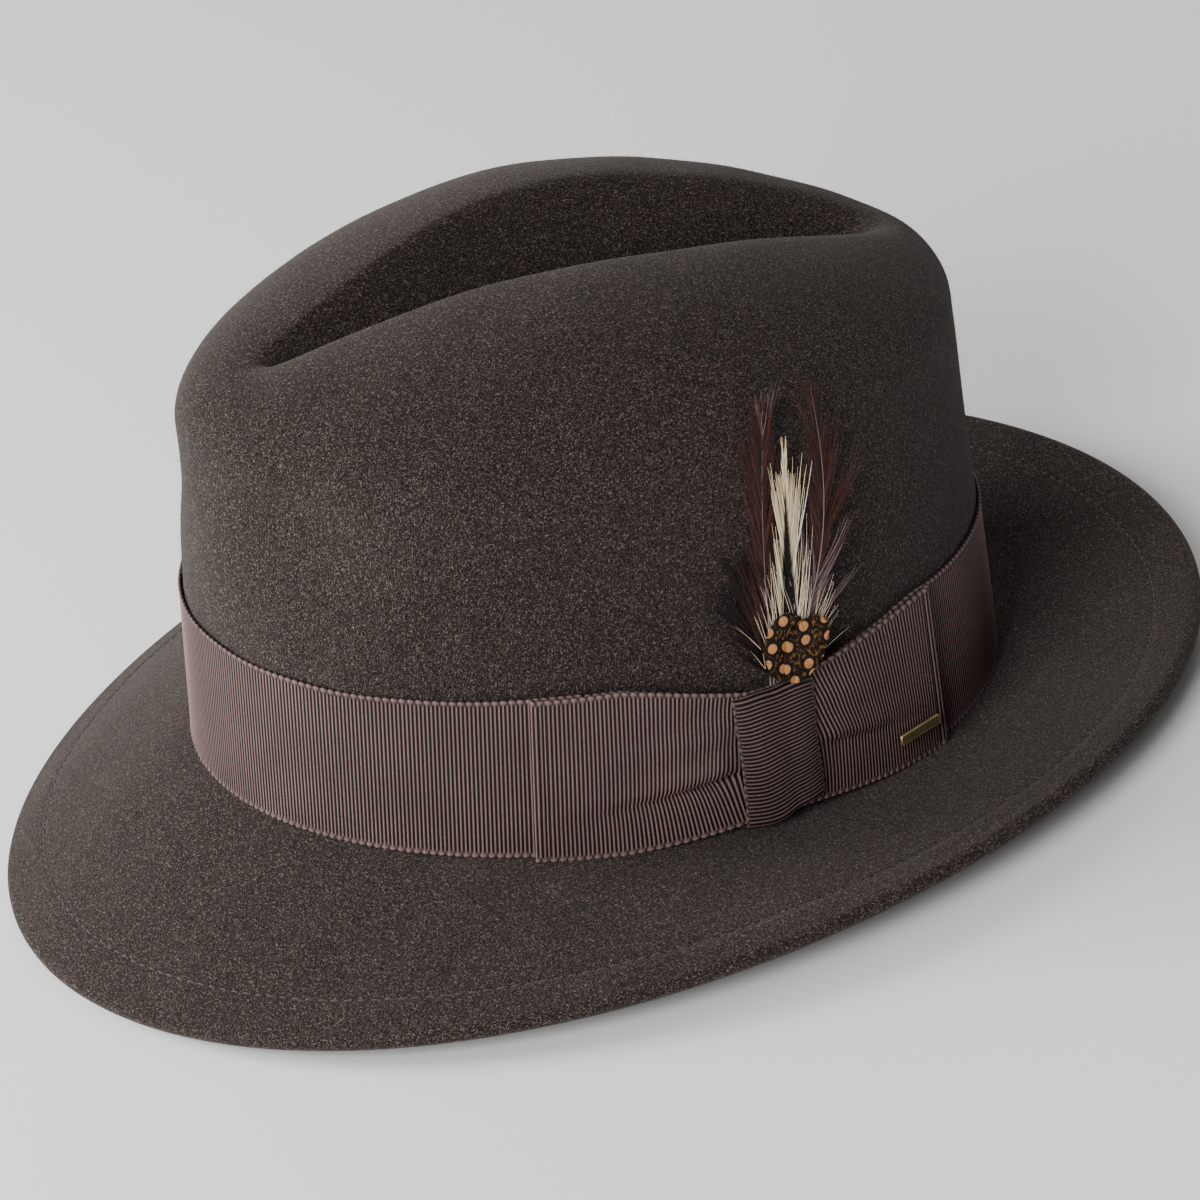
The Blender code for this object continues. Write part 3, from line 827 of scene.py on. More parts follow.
def build_felt():
    top, low, normal = felt_grids()
    middle = (top[0] + low[0]) / 2
    half = (top[0] - low[0]) / 2
    out = unit(top[0] - top[1])
    reach = np.linalg.norm(half, axis=-1, keepdims=True)
    edge = []
    for turn in np.linspace(np.pi, 0, 9)[1:-1]:
        edge.append(middle + half * np.cos(turn) + out * reach * np.sin(turn))
    grid = np.concatenate([low[::-1], np.stack(edge), top])
    rows = len(grid)
    faces = quads(rows, COLUMNS, False, True)
    index = np.arange(rows * COLUMNS).reshape(rows, COLUMNS)
    folded = np.minimum(np.arange(COLUMNS), (COLUMNS - np.arange(COLUMNS)) % COLUMNS)
    for row in (0, rows - 1):
        index[row] = row * COLUMNS + folded
    faces = index.ravel()[faces]
    keep = [face for face in faces.tolist() if len(set(face)) == 4]
    keep += [list(dict.fromkeys(face)) for face in faces.tolist() if len(set(face)) == 3]
    used = np.unique(np.concatenate([np.array(face) for face in keep]))
    renumber = np.full(rows * COLUMNS, -1)
    renumber[used] = np.arange(len(used))
    keep = [[renumber[k] for k in face] for face in keep]
    felt = piece("felt_shell", grid.reshape(-1, 3)[used], keep, FELT_LOOK)
    bends(felt, "felt", "felt_body", "front_brim")
    build_fuzz(top, normal)
    build_welt_stitches(top, low, normal)


def build_fuzz(top, normal):
    """Short loose fibres that lie on the felt and stand up a little from it."""
    count = FUZZ_COUNT
    rows, columns = top.shape[:2]
    crown_foot = sum(BRIM_RINGS)
    around_hat = np.linalg.norm(np.roll(top, -1, 1) - top, axis=-1)[:-1]
    area = around_hat * np.linalg.norm(np.diff(top, axis=0), axis=-1)
    under_ribbon = (top[:-1, :, 2] < BAND_HEIGHT + 2) & (np.arange(rows - 1) >= crown_foot)[:, None]
    area[under_ribbon] = 0
    area[crown_foot - 3:crown_foot] = 0
    chosen = rng.choice(area.size, count, p=area.ravel() / area.sum())
    i, j = np.divmod(chosen, columns)
    foot = top[i, j] + (top[i, (j + 1) % columns] - top[i, j]) * rng.uniform(0, 1, (count, 1))
    foot = foot + (top[i + 1, j] - top[i, j]) * rng.uniform(0, 1, (count, 1))
    up = normal[i, j]
    lie = unit(np.cross(up, rng.normal(0, 1, (count, 3))))
    turn = np.cross(up, lie)
    length = rng.uniform(0.7, 2.0, (count, 1))
    rise = rng.uniform(0.15, 0.75, (count, 1)) ** 1.5
    curl = rng.normal(0, 0.35, (count, 1))
    shape = []
    for share, thin in ((0.0, 1.0), (0.5, 0.8), (1.0, 0.3)):
        middle = foot + lie * length * share + up * (rise * share * length - 0.05) + turn * curl * share**2
        half = turn * FUZZ_WIDTH * thin
        shape += [middle - half, middle + half]
    points = np.stack(shape, 1).reshape(-1, 3)
    start = (np.arange(count) * 6)[:, None]
    faces = np.concatenate([start + (0, 1, 3, 2), start + (2, 3, 5, 4)])
    tone = np.repeat(rng.uniform(0, 1, count) ** 1.3, 6)
    fuzz = piece("felt_fuzz", points, faces, FUZZ_LOOK, {"tone": tone}, False)
    bends(fuzz, "felt")


def build_welt_stitches(top, low, normal):
    inset = 1 - STITCH_INSET / BRIM_WIDTH
    values = np.array([value for kind, value in felt_levels() if kind == "brim"])
    row = int(np.argmin(np.abs(values - inset)))
    parts = Parts()
    for face, out in ((top[row], normal[row]), (low[row], -normal[row])):
        dashes(parts, face + out * 0.12, -out, STITCH_PITCH, STITCH_LENGTH, 0.2)
    stitches = parts.make("welt_stitches", WELT_THREAD)
    bends(stitches, "thread", "welt_stitching_rear", "welt_stitching_front")


# ---------------------------------------------------------------- ribbon


def ribbon_rows(count):
    """Places across the ribbon, closer together at its woven edges."""
    edge = np.array((0.0, 0.006, 0.014, 0.024, 0.036))
    return np.concatenate([edge, np.linspace(0.06, 0.94, count), 1 - edge[::-1]])


def selvage(t):
    """1 at the ribbon's two woven edges, 0 elsewhere."""
    return 1 - smooth((np.minimum(t, 1 - t) - 0.016) / 0.014)


def ribs(arc, t):
    """Height of the ribs, from 0 in a groove to 1. They are half as high on the woven edges."""
    return (0.5 + 0.5 * np.cos(2 * np.pi * arc / RIB_PITCH)) ** 0.8 * (1 - 0.5 * selvage(t))


def picot(arc):
    """The scalloped outline of the woven edge."""
    return 0.34 * bead(arc) ** 0.7


def bead(arc):
    """The loops of the woven edge, from 0 between two loops to 1 on a loop."""
    return np.abs(np.sin(np.pi * arc / PICOT_PITCH))


def rope(arc):
    """The raised thread along the woven edge, which bulges at each loop."""
    return 0.08 + 0.24 * bead(arc)


def gathered(arc, reach):
    """How far the ribbon is drawn in towards the knot: 1 at the knot, 0 from a reach away."""
    beyond = np.abs(arc - arc_at(KNOT_ANGLE)) - GATHER_START
    return np.clip(1 - np.maximum(beyond, 0) / reach, 0, 1) ** 1.15


def band_gather(arc):
    """The band is drawn in with the bow's two loops, and hides behind them."""
    return np.where(arc < arc_at(KNOT_ANGLE), gathered(arc, LEFT_REACH), gathered(arc, RIGHT_REACH))


def build_band():
    columns = int(round(ARC_LENGTH[-1] / RIB_PITCH)) * RIB_STEPS
    arc = np.arange(columns) * ARC_LENGTH[-1] / columns
    phi = phi_at(arc)[None]
    t = ribbon_rows(12)[:, None]
    rib = ribs(arc * round(ARC_LENGTH[-1]) / ARC_LENGTH[-1], t)
    sway = 0.12 * np.sin(phi * 7 + 1) + 0.08 * np.sin(phi * 19)
    draw = band_gather(arc)[None]
    low = 0.3 - picot(arc)[None] * 0.5 + (LOW_DRAW + 1.0) * draw
    high = BAND_HEIGHT - 0.2 + picot(arc)[None] + sway - (TOP_DRAW + 0.6) * draw
    z = low + (high - low) * t
    thick = BAND - RIB_DEPTH + RIB_DEPTH * rib + rope(arc) * selvage(t)
    front = wall(phi, z, BAND_INNER + thick)
    back = wall(phi, z, BAND_INNER)
    # The back face gets rib 0, so it takes the grooves' painted shade.
    values = {
        "rib": np.concatenate([rib, rib[::-1] * 0]),
        "selvage": np.concatenate([selvage(t) * bead(arc), 0 * rib]),
    }
    band = closed_sheet("ribbon_band", front, back, True, RIBBON_LOOK, values)
    belongs(band, "hat", "ribbon", "hat_band")


def loop_path(start, end):
    """One loop of the bow, seen from above: along its hidden layer, round the fold and back to the knot.
    It returns the place along the band and the offset from the wall of each column."""
    step = RIB_PITCH / RIB_STEPS
    hidden = np.arange(HIDDEN_LAYER, FOLD_RADIUS, -step)
    turn = np.arange(0, np.pi, step / FOLD_RADIUS)
    front = np.arange(FOLD_RADIUS, abs(end - start), step)
    near = BAND_INNER + BAND + LOOP_GAP
    from_fold = np.concatenate([hidden, FOLD_RADIUS * (1 - np.sin(turn)), front])
    rise = [0 * hidden, FOLD_RADIUS * (1 - np.cos(turn)), 2 * FOLD_RADIUS + 0 * front]
    return end - np.sign(end - start) * from_fold, near + np.concatenate(rise), len(hidden) + len(turn)


def build_loop(name, end_degrees, reach, crease_height, crease_strength, hollow, shear):
    """One loop of the flat bow: full width at its fold, gathered at the knot into a long sagging crease.
    Below the crease the ribbon falls in over the hollow's depth. shear leans the ribs near the knot."""
    knot = arc_at(KNOT_ANGLE)
    end = arc_at(end_degrees)
    place, offset, turned = loop_path(knot, end)
    count = len(place)
    along = np.arange(count) * RIB_PITCH / RIB_STEPS
    in_front = smooth((np.arange(count) - turned + 8) / 10)
    away = np.abs(place - knot)
    to_fold = np.abs(end - place)
    t = ribbon_rows(30)[:, None]
    gather = gathered(place, reach)
    low = 0.1 + LOW_DRAW * gather
    high = BAND_HEIGHT + 0.5 - TOP_DRAW * gather
    scallop = picot(along)
    z = (low - scallop * 0.6) + (high + scallop * 0.6 - low + scallop * 0.6) * t
    # The ribbon rolls out over the crease and falls in under it. Both fade away from the knot.
    fade = smooth((away - 9) / 7) * np.exp(-(np.maximum(away - CREASE_START, 0) / 20.0) ** 1.6) * in_front
    rise = z - crease_height + CREASE_SLOPE * (away - CREASE_START)
    above = np.maximum(rise, 0)
    below = np.minimum(rise, 0)
    over = 2.5 * np.exp(-above / 8.0) * (1 - np.exp(-above / 1.5))
    under = -1.5 * np.exp(below / hollow - above / 0.9)
    ripple = 0.35 * np.sin(rise * 0.55 + 1.0) * bell((rise - 12) / 8)
    shape = crease_strength * fade * (over + under + ripple)
    belly = 0.45 * in_front * bell((away - 24) / 12) * bell((t - 0.5) / 0.45)
    fold = in_front * (0.12 * bell((to_fold - 0.9) / 0.7) - 0.32 * bell((to_fold - 2.7) / 0.6))
    squeeze = 0.25 * gather * in_front
    rib = ribs(along, t)
    cloth = offset[None] + shape + belly + fold + squeeze
    cloth = np.maximum(cloth, BAND_INNER + BAND + 0.35)
    # The ribs lean with the pull of the knot.
    upper = np.maximum(2 * t - 1, 0)
    lower = np.maximum(1 - 2 * t, 0)
    skew = crease_strength * fade * 2.0 * np.exp(-np.abs(rise) / 5.0)
    skew = skew + gather * (shear * (0.6 * lower - upper) - 2.0 * upper**2 - 2.4 * lower**2)
    phi = phi_at(place[None] + np.sign(end - knot) * skew)
    middle = wall(phi, z, cloth)
    normal = grid_normals(middle)
    at_knot = slice(-20, None)
    face = np.sign(np.sum(normal[:, at_knot, :2] * outward(phi[:, at_knot]), -1).mean())
    normal = normal * face
    thick = RIBBON / 2
    front = middle + normal * (thick + RIB_DEPTH * (rib - 0.6) + rope(along) * 0.6 * selvage(t))[..., None]
    back = middle - normal * thick
    # The back face gets a lower rib than the front, so it takes part of the grooves' painted shade.
    values = {
        "rib": np.concatenate([rib, rib[::-1] * 0.6]),
        "selvage": np.concatenate([selvage(t) * bead(along), selvage(t) * bead(along)]),
    }
    return closed_sheet(name, front, back, False, RIBBON_LOOK, values)


def build_bow():
    left = build_loop(
        "bow_loop_front", BOW_START, LEFT_REACH,
        crease_height=15.6, crease_strength=1.5, hollow=3.2, shear=0.0,
    )
    belongs(left, "hat", "ribbon", "bow_ribbon")
    right = build_loop(
        "bow_loop_rear", BOW_END, RIGHT_REACH,
        crease_height=16.5, crease_strength=0.75, hollow=7.0, shear=4.5,
    )
    belongs(right, "hat", "ribbon")
    build_knot()


def build_knot():
    """The knot: a short ribbon wrapped round the loops' middle, so that its ribs run level."""
    # Its path round the gathered loops, as (offset, height) pairs.
    outline = rounded_box((KNOT_BACK, KNOT_LOW), (KNOT_FRONT, KNOT_HIGH), KNOT_BEND, 7)
    path = resampled(outline, RIB_PITCH / RIB_STEPS)
    count = len(path)
    along = np.arange(count) * RIB_PITCH / RIB_STEPS
    t = ribbon_rows(26)[None]
    offset = path[:, :1]
    z = path[:, 1:]
    upper = smooth((z - KNOT_LOW) / (KNOT_HIGH - KNOT_LOW))
    side = 2 * t - 1
    in_front = smooth((offset - KNOT_BACK) / 1.2)
    scallop = picot(along)[:, None]
    # The knot is a little narrow at its middle, leans, and its sides droop back to the loops.
    waist = 1 - 0.045 * bell((z - 19) / 9) + scallop * 0.02 + 0.05 * upper
    lean = -0.1 - 0.8 * upper
    place = arc_at(KNOT_ANGLE) + side * KNOT_HALF_WIDTH * waist + lean
    droop = -1.15 * np.abs(side) ** 4.0 * in_front
    hump = 0.28 * bell((side + 0.35) / 0.3) * bell((z - 23) / 9)
    dimple = in_front * (hump - 0.25 * bell((side - 0.25) / 0.22))
    crook = in_front * (0.55 * np.sin(side * 2.4 + 0.5) + 0.25 * np.sin(side * 6.0 + z * 0.12))
    rib = ribs(along[:, None], t)
    raised = RIB_DEPTH * (rib - 0.6) + 0.08 * selvage(t)
    lifted = 2.6 * smooth((side + 0.2) / 1.2) * (1 - upper)
    middle = wall(phi_at(place), z + lifted + crook * 0.8, offset - RIBBON / 2 + droop + dimple)
    normal = unit(np.cross(direction_along(middle, 0, True), np.gradient(middle, axis=1)))
    front_row = int(np.argmax(path[:, 0]))
    if normal[front_row, 20, 0] < 0:
        normal = -normal
    outer = middle + normal * (RIBBON / 2 + raised)[..., None]
    inner = middle - normal * RIBBON / 2
    rows, columns = outer.shape[:2]
    grid = np.concatenate([outer, inner[:, ::-1]], 1)
    faces = quads(rows, 2 * columns, True, True)
    # The inner face gets rib 0, so it takes the grooves' painted shade.
    values = {
        "rib": np.concatenate([rib, rib[:, ::-1] * 0], 1),
        "selvage": np.concatenate([selvage(t) * bead(along)[:, None], 0 * rib], 1),
    }
    knot = piece("bow_knot_wrap", grid, faces, KNOT_SHADED_LOOK, values)
    belongs(knot, "hat", "ribbon", "bow_knot")


def build_pin():
    """A thin brass bar with a rounded face and a narrow turned-in rim."""
    middle = (arc_at(PIN_START) + arc_at(PIN_END)) / 2
    half_length = (arc_at(PIN_END) - arc_at(PIN_START)) / 2
    size = np.array((half_length, PIN_HALF_HEIGHT))
    outline = rounded_box(-size, size, PIN_CORNER, 6)
    rows = []
    for share, height, _ in PIN_PROFILE:
        inset = (1 - share) * PIN_HALF_HEIGHT
        ring = outline * np.maximum(size - inset, 0.0) / size
        rows.append(wall(phi_at(middle + ring[:, 0]), PIN_HEIGHT + ring[:, 1], PIN_INNER + height))
    grid = np.stack(rows)
    count = grid.shape[1]
    faces = quads(len(rows), count, False, True).tolist()
    faces.append(list(range(count))[::-1])
    # Painted highlight: the rim is painted lighter towards the pin's top edge.
    top = smooth(outline[:, 1] / PIN_HALF_HEIGHT + 0.2)
    rim = np.outer([polish for _, _, polish in PIN_PROFILE], top)
    pin = piece("brass_bar_pin", grid, faces, BRASS_LOOK, {"rim": rim})
    cleaned(pin)
    belongs(pin, "hat", "brass", "bar_pin")


def cleaned(obj):
    """Merges the points that meet in obj's middle and drops faces left without area."""
    shape = bmesh.new()
    shape.from_mesh(obj.data)
    bmesh.ops.remove_doubles(shape, verts=shape.verts, dist=2e-6)
    bmesh.ops.dissolve_degenerate(shape, edges=shape.edges, dist=1e-6)
    bmesh.ops.recalc_face_normals(shape, faces=shape.faces)
    shape.to_mesh(obj.data)
    shape.free()
    obj.data.set_sharp_from_angle(angle=radians(40))


# ---------------------------------------------------------------- feathers


def spray_frame():
    """Origin, sideways, upwards and outwards directions of the feather plane."""
    phi = np.array(radians(90) + SPRAY_Y / HALF_LENGTH)
    origin = wall(phi, SPRAY_LOW, SPRAY_OFFSET)
    normal = outward(phi)
    lean = radians(SPRAY_LEAN)
    up = np.array((-normal[0] * np.sin(lean), -normal[1] * np.sin(lean), np.cos(lean)))
    side = np.array((-normal[1], normal[0], 0.0))
    return origin, side, up, np.cross(side, up)


SPRAY = spray_frame()


def spray_points(flat, layer):
    """Points of the feather plane, from (across, along) pairs and distances out of the plane."""
    origin, side, up, out = SPRAY
    flat = np.asarray(flat)
    return origin + flat[..., :1] * side + flat[..., 1:2] * up + np.asarray(layer)[..., None] * out


def rachis(root, tip, bow, t):
    """Points of a shaft in the feather plane: t runs from 0 at its root to 1 at its tip."""
    root = np.array(root)
    tip = np.array(tip)
    axis = (tip - root) / np.linalg.norm(tip - root)
    normal = np.array((axis[1], -axis[0]))
    t = np.asarray(t)[..., None]
    return root + (tip - root) * t + normal * bow * np.sin(np.pi * t)


def add_barb(
    parts, start, heading, length, width, layer, bend, tone, heart=None, faded=0.0, steps=BARB_STEPS,
):
    """A tapered flat barb that starts at a point of the plane and bends as it goes.
    heart says how dark the feather's middle is at each point of the plane."""
    share = np.linspace(0, 1, steps)
    angle = heading + bend * share
    step = length / (steps - 1)
    moves = np.stack([np.sin(angle), np.cos(angle)], -1) * step
    line = np.array(start) + np.concatenate([[(0, 0)], np.cumsum(moves[:-1], 0)])
    side = np.stack([np.cos(angle), -np.sin(angle)], -1)
    half = width / 2 * (1 - 0.85 * share**2)[:, None]
    height = layer + 0.25 * np.sin(np.pi * share * 0.8)
    left = spray_points(line - side * half, height)
    right = spray_points(line + side * half, height + 0.04)
    flat = np.stack([line - side * half, line + side * half], 1).reshape(-1, 2)
    plane = np.concatenate([flat, np.zeros((len(flat), 1))], 1)
    dark = heart(flat) if heart else np.zeros(len(flat))
    parts.add(np.stack([left, right], 1), quads(steps, 2), plane=plane, tone=tone, heart=dark, faded=faded)


def add_rachis(parts, root, tip, bow, layer, thick, tone):
    count = 30
    sides = 6
    flat = rachis(root, tip, bow, np.linspace(-0.04, 1.0, count))
    line = spray_points(flat, np.full(count, layer))
    points, faces = tube(line, thick * np.linspace(1.1, 0.15, count), sides, helper=SPRAY[3])
    plane = np.repeat(np.concatenate([flat, 0 * flat[:, :1]], 1), sides, 0)
    parts.add(points, faces, plane=plane, tone=tone, heart=0.0, faded=0.0)


def build_hackle(
    name, node, line, width, layer, look, slot, count, opening,
    barb=0.16, taper=0.0, point=0.4, shortest=2.0, faded=(0.0, 0.0, 0.0), heart=None, steps=BARB_STEPS,
):
    """A long loose feather: barbs that sweep up and out from its shaft in small clumps. line is the shaft's
    root, tip and bow, barb is a barb's width, and taper and point narrow the feather towards its tip. faded
    is a stretch of the shaft and the share of its barbs that are pale."""
    low, high, share = faded
    parts = Parts()
    depth = layer * VANE_PITCH + 0.25
    for side in (-1, 1):
        clump = rng.normal(0, 1, count)
        for k in range(count):
            t = 0.02 + 0.96 * (k + rng.uniform(0, 0.8)) / count
            start = rachis(*line, t)
            ahead = rachis(*line, t + 0.02) - rachis(*line, t - 0.02)
            heading = np.arctan2(ahead[0], ahead[1])
            outline = 0.30 + 0.70 * np.sin(np.pi * min(t * 0.85 + 0.14, 1.0)) ** 0.8
            full = width / 2 * outline * (1 - taper * t)
            gap = clump[k // 9]
            spread = opening * (1 + 0.26 * gap) * (1.1 - 0.55 * t) + rng.normal(0, 0.03)
            uneven = 0.92 + 0.20 * gap + rng.normal(0, 0.16)
            length = full / np.sin(opening) * uneven * (1 - point * t**3)
            turned = heading + side * spread
            tone = rng.uniform(0, 1) ** 1.5
            pale = rng.uniform(0.3, 1.0) if low < t < high and rng.uniform(0, 1) < share else 0.0
            layer_at = depth + rng.uniform(-0.25, 0.3)
            bend = -side * spread * rng.uniform(0.1, 0.6)
            reach = max(length, shortest)
            add_barb(parts, start, turned, reach, barb, layer_at, bend, tone, heart, pale, steps)
    belongs(parts.make(name, look, False), "feather_spray", slot, node)


def badger_stripe(root, tip, top, widest):
    """The dark wedge in the middle of a pale hackle, widening from its top down to its root."""
    root = np.array(root)
    tip = np.array(tip)

    def heart(flat):
        along = (flat[:, 1] - root[1]) / (tip[1] - root[1])
        middle = root[0] + (tip[0] - root[0]) * along
        half = widest * np.clip((top - flat[:, 1]) / (top - root[1]), 0, 1)
        return 1 - smooth((np.abs(flat[:, 0] - middle) - half) / 0.5 + 0.5)

    return heart


def build_spotted(name, node, root, tip, half_width, layer):
    """A short round feather with close barbs that make an unbroken vane."""
    parts = Parts()
    depth = layer * VANE_PITCH + 0.2
    root = np.array(root)
    axis = np.array(tip) - root
    length = np.linalg.norm(axis)
    axis = axis / length
    across = np.array((axis[1], -axis[0]))
    for side in (-1, 1):
        for k in range(SPOTTED_BARBS):
            t = k / SPOTTED_BARBS
            turn = np.pi * 0.88 * (1 - t)
            start = root + axis * length * 0.82 * t
            rim = 0.45 if turn < np.pi / 2 else 0.55
            outwards = across * side * half_width * np.sin(turn)
            end = root + outwards + axis * length * (0.55 + rim * np.cos(turn))
            reach = end - start
            heading = np.arctan2(reach[0], reach[1])
            ragged = 1 + rng.normal(0, 0.03)
            layer_at = depth + 0.002 * k + rng.uniform(-0.02, 0.02)
            add_barb(
                parts, start, heading + side * 0.12, np.linalg.norm(reach) * ragged, 0.62, layer_at,
                -side * 0.24, rng.uniform(0.45, 1),
            )
    add_rachis(parts, root, root + axis * length * 0.8, 0.0, depth + 0.10, 0.2, 0.3)
    belongs(parts.make(name, SPOTTED_LOOK, False), "feather_spray", "spotted_feather", node)


def build_shafts():
    """The pale shafts of the two brown hackles, which show through their barbs."""
    parts = Parts()
    add_rachis(parts, *FRONT_LINE, 1 * VANE_PITCH + 0.50, 0.20, 0.5)
    add_rachis(parts, *REAR_LINE, 2 * VANE_PITCH + 0.62, 0.25, 0.5)
    shafts = parts.make("hackle_shafts", SHAFT_LOOK)
    belongs(shafts, "feather_spray", "brown_feather")


# Tufts of loose hairs: place across the spray's foot, heading in radians, length and layer.
CREAM_TUFTS = (
    (-1.8, -0.20, 18, 0.9), (-1.8, -0.10, 21, 3.0), (-1.4, -0.04, 23, 2.9), (-0.4, 0.02, 25, 3.1),
    (-2.4, -0.60, 12, 0.5), (-1.0, 0.00, 27, 2.9), (-0.2, 0.05, 24, 3.1), (4.8, 0.06, 38, 3.2),
    (4.9, 0.09, 37, 3.2), (4.95, 0.13, 34, 3.3),
)
MAUVE_TUFTS = (
    (5.4, 0.10, 22, 2.9), (6.2, 0.22, 22, 2.9), (7.0, 0.36, 20, 2.7), (7.8, 0.48, 18, 2.6),
    (8.4, 0.60, 16, 2.8), (9.0, 0.74, 15, 2.6), (9.2, 0.88, 12, 2.6),
)


def build_wisps():
    """Loose pale hairs at the foot of the spray."""
    parts = Parts()
    for tufts, hairs, lightest in ((CREAM_TUFTS, 3, 0.9), (MAUVE_TUFTS, 5, 0.45)):
        for across, heading, length, layer in [tuft for tuft in tufts for _ in range(hairs)]:
            start = (across + rng.normal(0, 0.5), 6.0 + rng.uniform(-2, 4))
            turned = heading + rng.normal(0, 0.08)
            reach = length * rng.uniform(0.55, 1.1)
            tone = rng.uniform(0.0, lightest)
            faded = rng.uniform(0, 0.4)
            bend = rng.normal(-0.05, 0.14)
            add_barb(parts, start, turned, reach, 0.09, layer, bend, tone, faded=faded, steps=8)
    wisps = parts.make("pale_wisps", CREAM_LOOK, False)
    belongs(wisps, "feather_spray", "cream_feather")


def build_quills():
    """The bound shafts that tuck in behind the knot."""
    parts = Parts()
    for across in (-1.2, -0.4, 0.4, 1.2):
        t = np.linspace(0, 1, 12)
        flat = np.stack([across * (0.75 + 0.5 * t), -26 + 29 * t], -1)
        parts.add(*split_tube(spray_points(flat, 0.0 * t), 0.29 + 0 * t))
    turns = np.linspace(0, 2 * np.pi * 9, 9 * 14)
    flat = np.stack([1.75 * np.cos(turns), -22 + 0.45 * turns / (2 * np.pi)], -1)
    winding = spray_points(flat, 0.42 * np.sin(turns))
    parts.add(*split_tube(winding, 0.11 + 0 * turns))
    quills = parts.make("bound_quills", QUILL_LOOK)
    belongs(quills, "feather_spray", "quill", "feather_quills")


def split_tube(line, radius):
    """A tube whose ends close to a point, so that all its faces have four corners."""
    radius = radius.copy()
    radius[0] = 0.02
    radius[-1] = 0.02
    points, faces = tube(line, radius, 8, helper=SPRAY[3])
    return points, faces[:-2]


def build_spray():
    build_hackle(
        "dark_side_feather", "dark_feather", SIDE_LINE, width=12.0, layer=0, look=DARK_LOOK,
        slot="brown_feather", count=200, opening=0.42,
    )
    build_hackle(
        "brown_hackle_front", "brown_feather_front", FRONT_LINE, width=11.5, layer=1, look=BROWN_LOOK,
        slot="brown_feather", count=420, opening=0.30, faded=(0.86, 0.99, 0.35),
    )
    build_hackle(
        "brown_hackle_rear", "brown_feather_rear", REAR_LINE, width=12.5, layer=2, look=BROWN_LOOK,
        slot="brown_feather", count=330, opening=0.38, faded=(0.0, 0.34, 0.55),
    )
    build_hackle(
        "cream_hackle", "cream_feather", CREAM_LINE, width=11.0, layer=3, look=CREAM_LOOK,
        slot="cream_feather", count=105, opening=0.17, barb=0.24, taper=0.78, point=0.90, shortest=5.5,
        faded=(0.0, 0.45, 0.3), heart=badger_stripe(*CREAM_LINE[:2], top=50.0, widest=3.2), steps=12,
    )
    build_spotted("spotted_feather_near", "spotted_feather_left", (0.0, 2.2), (2.6, 19.0), 5.6, 4)
    build_spotted("spotted_feather_far", "spotted_feather_right", (2.0, 1.8), (10.6, 16.5), 5.4, 5)
    build_wisps()
    build_shafts()
    build_quills()


# ---------------------------------------------------------------- inside


def ring_sheet(name, z, inner, outer, look, slot, node, columns):
    """A closed strip inside the crown. inner and outer are offsets from the wall at each height and angle."""
    phi = even_angles(columns)[None]
    z = np.asarray(z)[:, None] + 0 * phi
    made_inner = wall(phi, z, inner(phi, z))
    made_outer = wall(phi, z, outer(phi, z))
    belongs(closed_sheet(name, made_inner, made_outer, True, look), "hat", slot, node)


